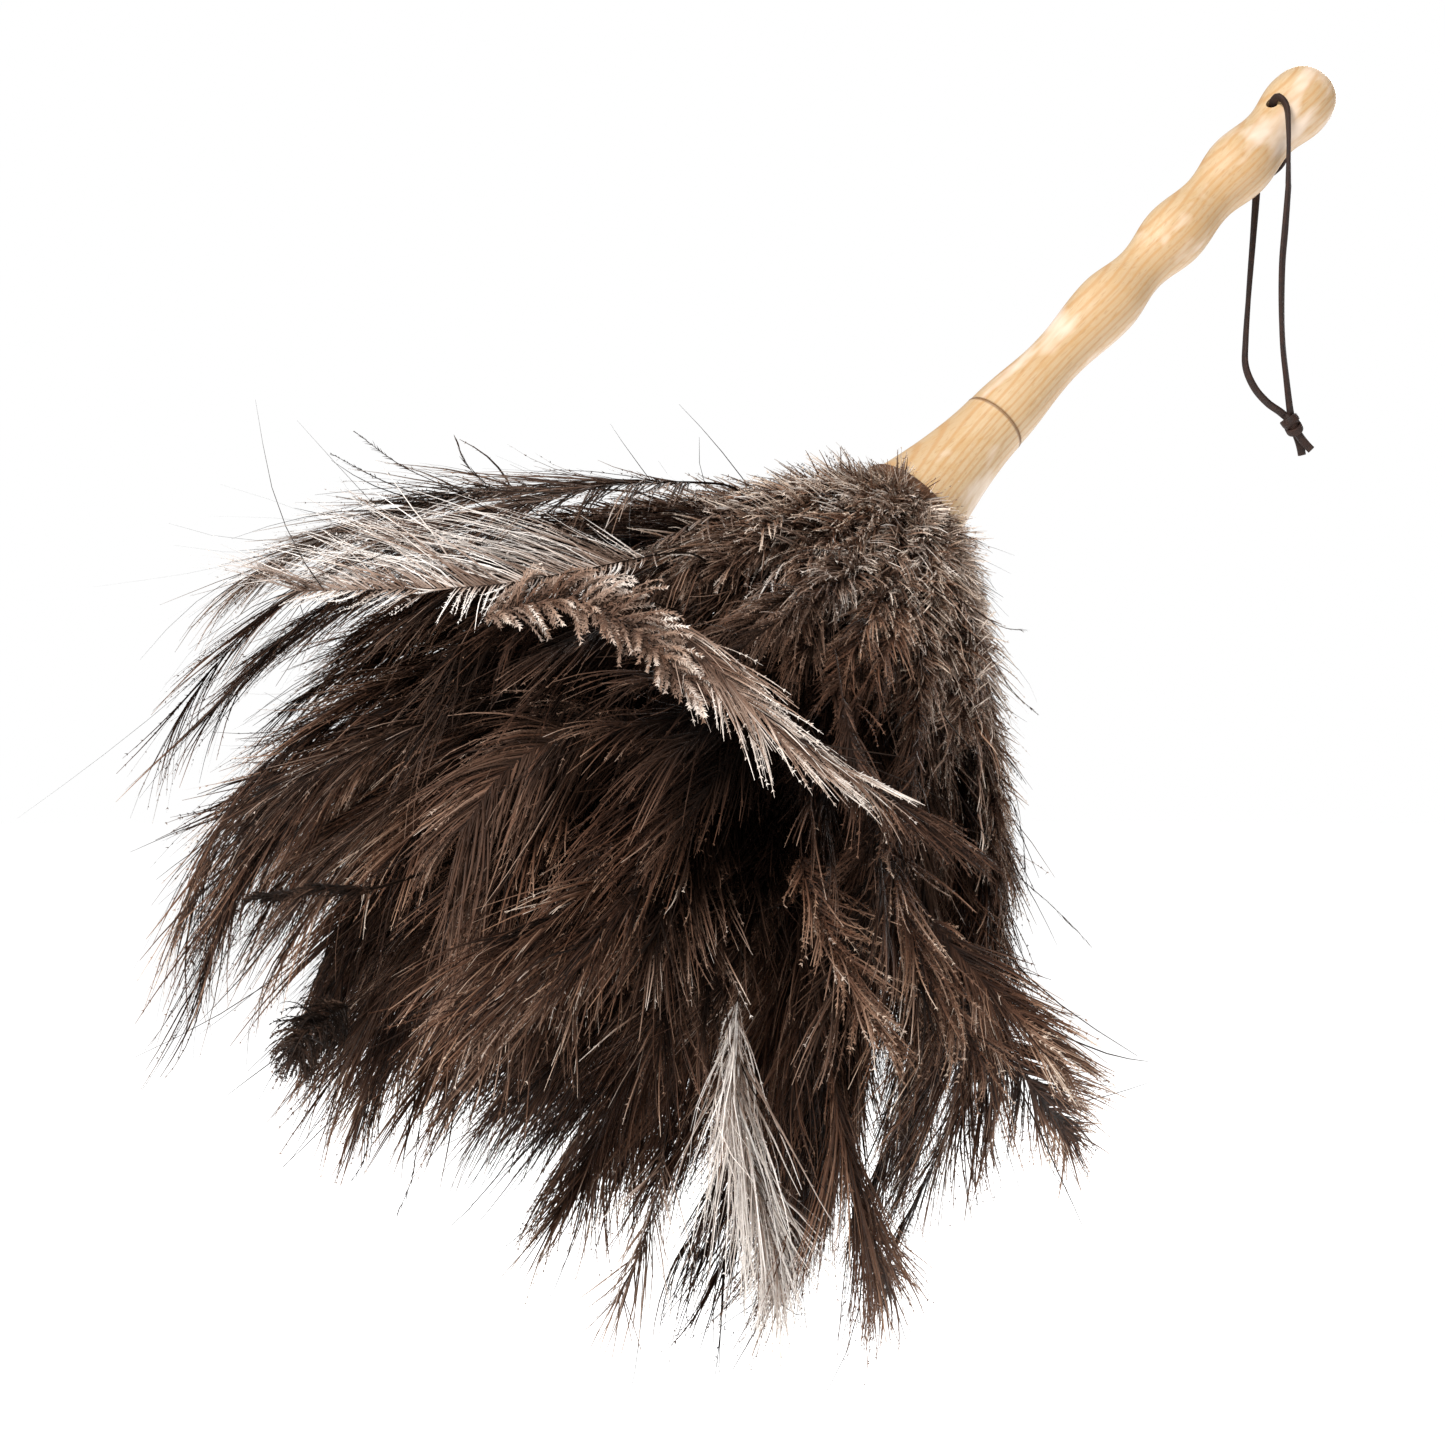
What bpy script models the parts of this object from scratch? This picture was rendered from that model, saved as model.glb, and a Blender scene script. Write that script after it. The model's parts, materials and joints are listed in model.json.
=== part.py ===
"""Ostrich feather duster: a turned wooden handle, a leather collar, four wired rows of plumes and a lace loop.

The handle and the head are drawn along the handle's own +Z and tilted by one empty into the pose in which
the duster is held. The lace hangs plumb in the world frame. Lengths are in metres, angles in radians.
"""

import math
from dataclasses import dataclass

import bmesh
import bpy
from mathutils import Vector

# Pose and clearances
HANDLE_RISE = math.radians(43.0)  # the handle's axis above level, rising towards +X
GRIP = 0.163  # the part's origin, on the handle's axis, from the collar's edge
GAP = 0.0003  # between pieces that touch

# Handle: where its outline swells and necks, as (distance from the collar's edge, radius)
SWELLS = (
    (0.0500, 0.01275),
    (0.0872, 0.01020),
    (0.1195, 0.01250),
    (0.1412, 0.00980),
    (0.1634, 0.01265),
    (0.1847, 0.01045),
    (0.2064, 0.01325),
    (0.2262, 0.01110),
    (0.2450, 0.01375),
)
BUTT = 0.2590  # the flat butt end
BUTT_FLAT_RADIUS = 0.0080
FLARE_RADIUS = 0.0205
FLARE_BEND = 1.6  # above 1 the flare is hollow, like a trumpet's
GROOVE = 0.0487  # the fine ring groove around the handle
GROOVE_WIDTH = 0.0009
GROOVE_DEPTH = 0.0006
GROOVE_LIP_RADIUS = 0.0130
RIM = 0.0045  # the straight rim behind the flare, under the collar
TENON_RADIUS = 0.0090  # the tenon that the quills are wired to
TENON_TIP_RADIUS = 0.0070
TENON_LENGTH = 0.1150
SWELL_STEPS = 4  # rings of the handle's mesh in each swell
HANDLE_SIDES = 32

# Bore for the lace
BORE = 0.2322
BORE_RADIUS = 0.0026
BORE_ROLL = math.radians(28.4)  # the upper mouth, rolled from the handle's top towards -Y

# Leather collar
COLLAR_THICKNESS = 0.0013
COLLAR_LIP = 0.0006  # how far it stands past the flare's edge

# Quills and wire
QUILL_RADIUS = 0.0108  # from the handle's axis to a quill's middle
QUILL_WIDTH = 0.0030
QUILL_THICKNESS = 0.0016
WIRE_RADIUS = 0.0006
WIRE_TURNS = 4

# Lace, a flat leather thong drawn as a round tube of its width
LACE_RADIUS = 0.0015
HINGE = Vector((-0.0060, 0.0, -0.0275))  # the loop's swing axis, from the middle of the bore
TAIL_LENGTH = 0.0080
KNOT_SIZE = Vector((0.0072, 0.0076, 0.0108))
KNOT_SIDES = 14
KNOT_RINGS = 9
KNOT_LUMPS = 0.07  # how far the knot's turns stand out, as a share of its radius


@dataclass
class Row:
    """A ring of plumes. Places are (distance from the collar's edge, radius), negative towards the tips."""

    name: str
    count: int
    quill_from: float
    bend: tuple
    splay: tuple
    belly: tuple
    tip: tuple
    half_width: float
    half_thickness: float
    phase: float
    colour: tuple


ROWS = (
    Row("collar_plume", 10, -0.0068, (-0.0170, QUILL_RADIUS), (-0.0120, 0.0500), (-0.0280, 0.0740),
        (-0.0560, 0.0860), 0.0200, 0.0018, 0.0, (0.196, 0.146, 0.120)),
    Row("outer_plume", 14, -0.0280, (-0.0420, QUILL_RADIUS), (-0.0440, 0.0600), (-0.1150, 0.2280),
        (-0.2820, 0.1500), 0.0350, 0.0022, 0.3, (0.098, 0.062, 0.046)),
    Row("middle_plume", 12, -0.0500, (-0.0640, QUILL_RADIUS), (-0.0850, 0.0400), (-0.1900, 0.1720),
        (-0.3150, 0.1050), 0.0290, 0.0022, 0.0, (0.070, 0.040, 0.028)),
    Row("inner_plume", 8, -0.0700, (-0.0840, QUILL_RADIUS), (-0.1200, 0.0160), (-0.2100, 0.0780),
        (-0.3180, 0.0340), 0.0150, 0.0020, 0.2, (0.040, 0.024, 0.018)),
)
SAG = 0.036  # how far the widest plumes sink under their own weight
SAG_REACH = 0.060  # the sag grows with the distance from the quills over about this length
PLUME_STEPS = 9
PLUME_TRIM = 0.035  # each plume is cut back by 0, 1 or 2 of these, as a share of its length
UNDERSIDE_TRIM = 0.18  # the plumes that hang below the handle are this much shorter than those above it

WOOD = ("wood", (0.720, 0.530, 0.320), 0.38, 0.0)
COLLAR_LEATHER = ("collar_leather", (0.240, 0.085, 0.030), 0.60, 0.0)
LACE_LEATHER = ("lace_leather", (0.035, 0.018, 0.014), 0.62, 0.0)
STEEL = ("binding_wire", (0.480, 0.470, 0.450), 0.35, 1.0)


def clear_scene():
    for leftover in list(bpy.data.objects):
        bpy.data.objects.remove(leftover, do_unlink=True)


def material(name, colour, roughness, metallic):
    made = bpy.data.materials.get(name)
    if made is None:
        made = bpy.data.materials.new(name)
        made.use_nodes = True
        shader = made.node_tree.nodes["Principled BSDF"]
        shader.inputs["Base Color"].default_value = (*colour, 1.0)
        shader.inputs["Roughness"].default_value = roughness
        shader.inputs["Metallic"].default_value = metallic
    return made


def add_object(name, data, finish, parent=None):
    data.materials.append(material(*finish))
    made = bpy.data.objects.new(name, data)
    bpy.context.scene.collection.objects.link(made)
    made.parent = parent
    return made


def along(distance, radius=0.0):
    """(radius, height) in the handle's own frame, from a distance past the collar's edge."""
    return (radius, distance - GRIP)


def add_turned(name, outline, sides, finish, parent, closed=False):
    """A solid turned about its own Z. An open outline runs from the top of the axis to its foot."""
    count = len(outline)
    edges = [(i, (i + 1) % count) for i in range(count if closed else count - 1)]
    mesh = bpy.data.meshes.new(name)
    mesh.from_pydata([(radius, 0.0, height) for radius, height in outline], edges, [])
    made = add_object(name, mesh, finish, parent)
    screw = made.modifiers.new("turn", "SCREW")
    screw.steps = sides
    screw.render_steps = sides
    screw.use_merge_vertices = True
    screw.merge_threshold = 0.00001
    return made


# Handle


def swelling_stretch(lower, upper):
    """Points from the upper station down to just above the lower one, level at both, as a turner cuts them."""
    (low, low_radius), (high, high_radius) = lower, upper
    points = []
    for step in range(SWELL_STEPS):
        share = step / SWELL_STEPS
        ease = (1 - math.cos(math.pi * share)) / 2
        radius = high_radius + (low_radius - high_radius) * ease
        points.append(along(high + (low - high) * share, radius))
    return points


def butt_end_arc():
    """The rounded edge between the flat butt and the knob's widest ring."""
    knob, knob_radius = SWELLS[-1]
    steps = 5
    points = []
    for step in range(steps):
        angle = math.pi / 2 * (1 - step / steps)
        radius = BUTT_FLAT_RADIUS + (knob_radius - BUTT_FLAT_RADIUS) * math.cos(angle)
        points.append(along(knob + (BUTT - knob) * math.sin(angle), radius))
    return points


def handle_outline():
    outline = [along(BUTT)] + butt_end_arc()
    for lower, upper in zip(reversed(SWELLS[:-1]), reversed(SWELLS[1:])):
        outline += swelling_stretch(lower, upper)
    outline.append(along(GROOVE + GROOVE_WIDTH / 2, SWELLS[0][1]))
    outline.append(along(GROOVE, SWELLS[0][1] - GROOVE_DEPTH))
    flare_steps = 7
    flare_top = GROOVE - GROOVE_WIDTH / 2
    for step in range(flare_steps + 1):
        share = step / flare_steps
        radius = GROOVE_LIP_RADIUS + (FLARE_RADIUS - GROOVE_LIP_RADIUS) * share**FLARE_BEND
        outline.append(along(flare_top * (1 - share), radius))
    outline.append(along(-RIM, FLARE_RADIUS))
    outline.append(along(-RIM, TENON_RADIUS))
    outline.append(along(-TENON_LENGTH, TENON_TIP_RADIUS))
    outline.append(along(-TENON_LENGTH - TENON_TIP_RADIUS / 2, TENON_TIP_RADIUS / 2))
    outline.append(along(-TENON_LENGTH - TENON_TIP_RADIUS / 2))
    return outline


def bore_direction():
    """Out of the bore's upper mouth, in the handle's own frame, whose top faces -X before the tilt."""
    return Vector((-math.cos(BORE_ROLL), -math.sin(BORE_ROLL), 0.0))


def add_handle(tilt):
    handle = add_turned("handle", handle_outline(), HANDLE_SIDES, WOOD, tilt)
    cutter_mesh = bpy.data.meshes.new("bore_cutter")
    cutter = bmesh.new()
    bmesh.ops.create_cone(
        cutter, cap_ends=True, segments=20, radius1=BORE_RADIUS, radius2=BORE_RADIUS, depth=4 * FLARE_RADIUS
    )
    cutter.to_mesh(cutter_mesh)
    cutter.free()
    drill = add_object("bore_cutter", cutter_mesh, WOOD, tilt)
    drill.location = (0.0, 0.0, BORE - GRIP)
    drill.rotation_mode = "QUATERNION"
    drill.rotation_quaternion = bore_direction().to_track_quat("Z", "X")
    drill.hide_render = True
    drill.display_type = "WIRE"
    bore = handle.modifiers.new("bore", "BOOLEAN")
    bore.operation = "DIFFERENCE"
    bore.solver = "EXACT"
    bore.object = drill


def add_collar(tilt):
    """A leather band around the rim, with a rounded outer edge at each side."""
    inner = FLARE_RADIUS + GAP
    outer = inner + COLLAR_THICKNESS
    top, foot = COLLAR_LIP, -RIM
    rounding = COLLAR_THICKNESS * 0.4
    outline = [
        along(top, inner + rounding),
        along(top, outer - rounding),
        along(top - rounding, outer),
        along(foot + rounding, outer),
        along(foot, outer - rounding),
        along(foot, inner),
        along(top - COLLAR_LIP, inner),
    ]
    add_turned("leather_collar", outline, HANDLE_SIDES, COLLAR_LEATHER, tilt, closed=True)


def add_winding(row, tilt):
    """The wire that binds one row's quills, as a band with a rounded ridge for each turn."""
    inner = QUILL_RADIUS + QUILL_THICKNESS / 2 + GAP
    pitch = 2 * WIRE_RADIUS
    top = (row.quill_from + row.bend[0]) / 2 + WIRE_TURNS * pitch / 2
    outline = [along(top, inner)]
    for turn in range(WIRE_TURNS):
        for share in (0.2, 0.5, 0.8):
            height = top - (turn + share) * pitch
            outline.append(along(height, inner + pitch * (0.6 + 0.4 * math.sin(math.pi * share))))
    outline.append(along(top - WIRE_TURNS * pitch, inner))
    add_turned(f"binding_wire_{row.name.split('_')[0]}_row", outline, 16, STEEL, tilt, closed=True)


# Plumes


def cubic(share, points):
    """A point on the curve that starts and ends at the outer two points, and the direction there."""
    a, b, c, d = (Vector(point) for point in points)
    rest = 1 - share
    place = rest**3 * a + 3 * rest**2 * share * b + 3 * rest * share**2 * c + share**3 * d
    heading = rest**2 * (b - a) + 2 * rest * share * (c - b) + share**2 * (d - c)
    return place, heading.normalized()


def plume_stations(row, end):
    """(place, heading, half width, half thickness) from the quill's foot to just short of the plume's tip."""
    quill = (QUILL_WIDTH / 2, QUILL_THICKNESS / 2)
    towards_tips = Vector((-1.0, 0.0))
    stations = [(Vector((row.quill_from, QUILL_RADIUS)), towards_tips, *quill)]
    stations.append((Vector(row.bend), towards_tips, *quill))
    for step in range(1, PLUME_STEPS):
        share = step / PLUME_STEPS
        place, heading = cubic(share * end, (row.bend, row.splay, row.belly, row.tip))
        fullness = math.sin(math.pi * share**0.8) ** 0.6
        width = max(quill[0], row.half_width * fullness)
        width = min(width, 0.92 * math.pi / row.count * place[1])
        stations.append((place, heading, width, max(quill[1], row.half_thickness * fullness)))
    return stations


def add_plume(row, index, tilt):
    """One plume: a leaf-shaped slab that follows the row's bell, with its middle thicker than its edges."""
    middle = row.phase + 2 * math.pi * index / row.count
    end = 1 - PLUME_TRIM * (index * 2 % 3) - UNDERSIDE_TRIM * (1 + math.cos(middle)) / 2
    across = (-1.0, -0.5, 0.0, 0.5, 1.0)
    around = [(u, 1) for u in across] + [(u, -1) for u in reversed(across[1:-1])]
    mesh = bmesh.new()

    down = Vector((math.cos(HANDLE_RISE), 0.0, -math.sin(HANDLE_RISE)))

    def vertex(distance, radius, angle):
        place = Vector((radius * math.cos(angle), radius * math.sin(angle), distance - GRIP))
        free = max(0.0, radius - QUILL_RADIUS - QUILL_THICKNESS)
        return mesh.verts.new(place + down * SAG * (1 - math.exp(-free / SAG_REACH)))

    rings = []
    for place, heading, half_width, half_thickness in plume_stations(row, end):
        outward = Vector((heading[1], -heading[0]))
        ring = []
        for u, face in around:
            distance, radius = place + outward * face * half_thickness * math.sqrt(1 - u * u)
            ring.append(vertex(distance, radius, middle + u * half_width / place[1]))
        rings.append(ring)
    for ring, following in zip(rings, rings[1:]):
        for i in range(len(ring)):
            j = (i + 1) % len(ring)
            mesh.faces.new((ring[i], ring[j], following[j], following[i]))
    tip_place, _ = cubic(end, (row.bend, row.splay, row.belly, row.tip))
    tip = vertex(tip_place[0], tip_place[1], middle)
    for i in range(len(rings[-1])):
        mesh.faces.new((rings[-1][i], rings[-1][(i + 1) % len(rings[-1])], tip))
    mesh.faces.new(reversed(rings[0]))
    bmesh.ops.recalc_face_normals(mesh, faces=mesh.faces)
    name = f"{row.name}_{index + 1:02d}"
    data = bpy.data.meshes.new(name)
    mesh.to_mesh(data)
    mesh.free()
    data.shade_smooth()
    finish = (f"{row.name}_feather", row.colour, 0.75, 0.0)
    add_object(name, data, finish, tilt)


# Lace


def bore_middle():
    return (BORE - GRIP) * Vector((math.cos(HANDLE_RISE), 0.0, math.sin(HANDLE_RISE)))


def bore_axis():
    """Out of the bore's upper mouth, in the world frame."""
    top = Vector((-math.sin(HANDLE_RISE), 0.0, math.cos(HANDLE_RISE)))
    return math.cos(BORE_ROLL) * top + math.sin(BORE_ROLL) * Vector((0.0, -1.0, 0.0))


def smooth_route(points, spacing):
    """Evenly spaced points on a smooth curve through the given ones."""
    ends = [2 * points[0] - points[1], *points, 2 * points[-1] - points[-2]]
    fine = []
    for a, b, c, d in zip(ends, ends[1:], ends[2:], ends[3:]):
        for step in range(24):
            t = step / 24
            fine.append(
                0.5 * (2 * b + (c - a) * t + (2 * a - 5 * b + 4 * c - d) * t**2 + (3 * b - a - 3 * c + d) * t**3)
            )
    fine.append(points[-1])
    length = sum((b - a).length for a, b in zip(fine, fine[1:]))
    count = max(2, round(length / spacing))
    route, walked, wanted = [fine[0]], 0.0, 1
    for a, b in zip(fine, fine[1:]):
        stretch = (b - a).length
        while wanted < count and walked + stretch >= wanted * length / count:
            route.append(a.lerp(b, (wanted * length / count - walked) / stretch))
            wanted += 1
        walked += stretch
    return route + [fine[-1]]


def add_tube(name, route, origin, rounded_start=False):
    """A round tube along the route, its object's origin at a point of the swing axis or of the bore."""
    curve = bpy.data.curves.new(name, "CURVE")
    curve.dimensions = "3D"
    curve.bevel_depth = LACE_RADIUS
    curve.bevel_resolution = 2
    curve.use_fill_caps = True
    radii = [1.0] * len(route)
    if rounded_start:
        back = (route[0] - route[1]).normalized() * LACE_RADIUS
        cap = [(math.sin(angle), math.cos(angle)) for angle in (1.35, 1.0, 0.5)]
        route = [route[0] + back * rise for rise, _ in cap] + route
        radii = [width for _, width in cap] + radii
    spline = curve.splines.new("POLY")
    spline.points.add(len(route) - 1)
    for point, place, radius in zip(spline.points, route, radii):
        point.co = (*(place - origin), 1.0)
        point.radius = radius
    made = add_object(name, curve, LACE_LEATHER)
    made.location = origin


def add_lace():
    """The lace goes up through the bore, down over the handle's near side and back along its underside."""
    middle, out = bore_middle(), bore_axis()
    lead_foot = HINGE.z + LACE_RADIUS + GAP
    over_near_side = [
        middle + Vector(offset)
        for offset in (
            (-0.0073, -0.0097, 0.0090),
            (-0.0052, -0.0122, 0.0050),
            (-0.0058, -0.0142, -0.0050),
            (-0.0060, -0.0145, -0.0150),
            (HINGE.x, -0.0143, lead_foot),
        )
    ]
    under_far_side = [
        middle + Vector(offset)
        for offset in (
            (0.0083, 0.0066, -0.0108),
            (0.0072, 0.0078, -0.0142),
            (0.0030, 0.0080, -0.0178),
            (-0.0020, 0.0076, -0.0208),
            (-0.0052, 0.0066, -0.0234),
            (HINGE.x, 0.0060, lead_foot),
        )
    ]
    through = [middle + out * rise for rise in (0.0110, 0.0055, 0.0, -0.0050, -0.0100)]
    route = smooth_route(list(reversed(over_near_side)) + through + under_far_side, 0.0035)
    add_tube("lace_through_handle", route, middle)

    pivot = middle + HINGE
    near = [
        middle + Vector(offset)
        for offset in (
            (HINGE.x, -0.0143, HINGE.z),
            (-0.0068, -0.0134, -0.0430),
            (-0.0073, -0.0122, -0.0570),
            (-0.0064, -0.0106, -0.0736),
            (-0.0045, -0.0090, -0.0888),
            (-0.0013, -0.0072, -0.1020),
            (0.0014, -0.0056, -0.1118),
        )
    ]
    far = [
        middle + Vector(offset)
        for offset in (
            (HINGE.x, 0.0060, HINGE.z),
            (-0.0080, 0.0056, -0.0460),
            (-0.0104, 0.0050, -0.0660),
            (-0.0134, 0.0032, -0.0860),
            (-0.0146, 0.0016, -0.0965),
            (-0.0116, 0.0000, -0.1048),
            (-0.0064, -0.0014, -0.1106),
            (-0.0012, -0.0026, -0.1140),
        )
    ]
    add_tube("lace_front_strand", smooth_route(near, 0.0060), pivot, rounded_start=True)
    add_tube("lace_back_strand", smooth_route(far, 0.0050), pivot, rounded_start=True)
    add_knot(middle, pivot)


def add_knot(middle, pivot):
    """An overhand knot as a lumpy egg, and the two cut ends that hang below it."""
    centre = middle + Vector((0.0038, -0.0040, -0.1190))
    tail_way = Vector((0.577, 0.0, -0.817))
    turn = (-tail_way).to_track_quat("Z", "X")
    mesh = bmesh.new()
    bmesh.ops.create_uvsphere(mesh, u_segments=KNOT_SIDES, v_segments=KNOT_RINGS, radius=0.5)
    for point in mesh.verts:
        around = math.atan2(point.co.y, point.co.x)
        lumps = 1 + KNOT_LUMPS * math.cos(2 * around + 9.0 * point.co.z)
        shaped = Vector([point.co[i] * KNOT_SIZE[i] * lumps for i in range(3)])
        point.co = turn @ shaped + centre - pivot
    data = bpy.data.meshes.new("lace_knot")
    mesh.to_mesh(data)
    mesh.free()
    data.shade_smooth()
    add_object("lace_knot", data, LACE_LEATHER).location = pivot
    foot = centre + tail_way * (KNOT_SIZE.z / 2 * (1 + KNOT_LUMPS) + GAP)
    side = Vector((0.463, 0.886, 0.0)) * (LACE_RADIUS + GAP)
    for name, offset in (("lace_tail_front", -side), ("lace_tail_back", side)):
        add_tube(name, smooth_route([foot + offset, foot + offset + tail_way * TAIL_LENGTH], 0.0040), pivot)


def main():
    clear_scene()
    tilt = bpy.data.objects.new("handle_axis", None)
    bpy.context.scene.collection.objects.link(tilt)
    tilt.rotation_euler = (0.0, math.pi / 2 - HANDLE_RISE, 0.0)
    add_handle(tilt)
    add_collar(tilt)
    for row in ROWS:
        add_winding(row, tilt)
        for index in range(row.count):
            add_plume(row, index, tilt)
    add_lace()


main()
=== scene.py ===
"""The looks of the feather duster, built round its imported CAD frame. Lengths are in metres.

The handle frame has its origin at the collar's edge. Distances run along the handle's axis towards the butt,
radii stand off the axis, and angles turn round it: 0 at the handle's underside and half a turn at its top.
"""

import json
import math

import bmesh
import bpy
import numpy as np
from mathutils import Matrix, Vector


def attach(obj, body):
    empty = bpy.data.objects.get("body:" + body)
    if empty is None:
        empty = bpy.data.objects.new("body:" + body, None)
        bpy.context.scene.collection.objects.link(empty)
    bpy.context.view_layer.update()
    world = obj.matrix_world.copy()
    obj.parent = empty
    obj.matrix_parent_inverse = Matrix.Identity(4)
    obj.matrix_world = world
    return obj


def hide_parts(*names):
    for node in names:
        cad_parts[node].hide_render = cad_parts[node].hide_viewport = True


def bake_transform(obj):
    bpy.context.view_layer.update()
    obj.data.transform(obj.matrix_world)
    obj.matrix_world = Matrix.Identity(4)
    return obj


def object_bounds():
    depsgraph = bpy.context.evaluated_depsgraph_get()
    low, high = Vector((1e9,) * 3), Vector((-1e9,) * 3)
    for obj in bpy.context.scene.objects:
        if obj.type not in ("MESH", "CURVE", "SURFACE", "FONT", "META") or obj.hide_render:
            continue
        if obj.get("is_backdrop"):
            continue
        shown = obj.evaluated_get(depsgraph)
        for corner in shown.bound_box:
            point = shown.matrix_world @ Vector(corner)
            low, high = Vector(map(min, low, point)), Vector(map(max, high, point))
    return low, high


SEED = 7

# Room that feathers may take outside the CAD box
SPREAD_SHARE = 0.03
SPREAD = 0.010

# Camera: level, and centred, with a long lens
CAMERA_PLACE = (-0.69855, -0.95597, -0.19041)
CAMERA_TURN = math.radians(-27.6)
LENS = 0.07474
SENSOR = 0.036

# Studio light
SKY_STRENGTH = 0.38
KEY_POWER = 85.0
FILL_POWER = 30.0
KEY_OFFSET = (-1.6, -0.9, 1.5)
FILL_OFFSET = (1.7, 1.2, 1.0)
KEY_SIZE = 0.9
FILL_SIZE = 1.2
FLOOR_GLOW = 0.68
FLOOR_RADIUS = 12.0
FLOOR_DROP = 0.22

# Handle, as the CAD turns it: (distance, radius) of its swells and necks
GRIP = 0.163
SWELLS = (
    (0.0500, 0.01275),
    (0.0872, 0.01020),
    (0.1195, 0.01250),
    (0.1412, 0.00980),
    (0.1634, 0.01265),
    (0.1847, 0.01045),
    (0.2064, 0.01325),
    (0.2262, 0.01110),
    (0.2450, 0.01375),
)
BUTT = 0.2590
BUTT_FLAT_RADIUS = 0.0080
FLARE_RADIUS = 0.0205
FLARE_BEND = 1.6
GROOVE = 0.0487
GROOVE_WIDTH = 0.0009
GROOVE_DEPTH = 0.0006
GROOVE_LIP_RADIUS = 0.0130
RIM = 0.0045
TENON_RADIUS = 0.0090
TENON_TIP_RADIUS = 0.0070
TENON_LENGTH = 0.1150
BORE = 0.2322
BORE_RADIUS = 0.0026
BORE_ROLL = math.radians(28.4)
COLLAR_INNER_RADIUS = 0.0208
COLLAR_THICKNESS = 0.0013
COLLAR_LIP = 0.0006

# Lace, from the middle of the bore
LACE_WIDTH = 0.0032
LACE_THICKNESS = 0.0017

# Feathers
SAG = 0.036
SAG_REACH = 0.060
QUILL_RADIUS = 0.0108
UNDERSIDE_TRIM = 0.18
BARB_STEPS = 5
UP = np.array((0.0, 0.0, 1.0))


def unit(v):
    return v / np.linalg.norm(v, axis=-1, keepdims=True)


# ---------------------------------------------------------------- frame

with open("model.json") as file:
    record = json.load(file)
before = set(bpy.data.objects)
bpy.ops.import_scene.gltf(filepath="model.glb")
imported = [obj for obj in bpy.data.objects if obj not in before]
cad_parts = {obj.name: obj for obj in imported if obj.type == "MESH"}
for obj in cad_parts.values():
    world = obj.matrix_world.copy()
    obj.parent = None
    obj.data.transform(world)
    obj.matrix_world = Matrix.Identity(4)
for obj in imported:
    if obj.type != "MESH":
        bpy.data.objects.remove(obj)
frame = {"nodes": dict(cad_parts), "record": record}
CAD_LOW, CAD_HIGH = (np.array(corner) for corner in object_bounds())
ROOM = (CAD_HIGH - CAD_LOW) * SPREAD_SHARE + SPREAD * 0.9
ROOM_LOW, ROOM_HIGH = CAD_LOW - ROOM, CAD_HIGH + ROOM
random = np.random.default_rng(SEED)

butt_mount = next(m for m in frame["record"]["mounts"] if m["name"] == "butt_end")
AXIS = unit(np.array(butt_mount["pos_m"], float))
SIDE = np.array((0.0, 1.0, 0.0))
UNDER = np.cross(SIDE, AXIS)
COLLAR_EDGE = -GRIP * AXIS
BORE_MIDDLE = COLLAR_EDGE + BORE * AXIS
HANDLE_MATRIX = Matrix(
    [[*row] for row in np.column_stack((UNDER, SIDE, AXIS, COLLAR_EDGE))] + [[0, 0, 0, 1]]
)


def at(distance, radius, angle):
    """Places in the row frame, from places in the handle frame. All three may be arrays."""
    distance, radius, angle = np.broadcast_arrays(distance, radius, angle)
    return (
        COLLAR_EDGE
        + distance[..., None] * AXIS
        + (radius * np.cos(angle))[..., None] * UNDER
        + (radius * np.sin(angle))[..., None] * SIDE
    )


# ---------------------------------------------------------------- camera and light


def add_camera():
    data = bpy.data.cameras.new("camera")
    data.sensor_width = SENSOR * 1000
    data.lens = LENS * 1000
    camera = bpy.data.objects.new("camera", data)
    camera.location = CAMERA_PLACE
    camera.rotation_euler = (math.radians(90), 0, CAMERA_TURN)
    bpy.context.scene.collection.objects.link(camera)
    bpy.context.scene.camera = camera


def add_area_light(name, place, target, size, power, colour=(1, 1, 1)):
    data = bpy.data.lights.new(name, "AREA")
    data.shape = "DISK"
    data.size = size
    data.energy = power
    data.color = colour
    light = bpy.data.objects.new(name, data)
    light.location = place
    light.rotation_euler = (Vector(target) - Vector(place)).to_track_quat("-Z", "Y").to_euler()
    bpy.context.scene.collection.objects.link(light)


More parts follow.
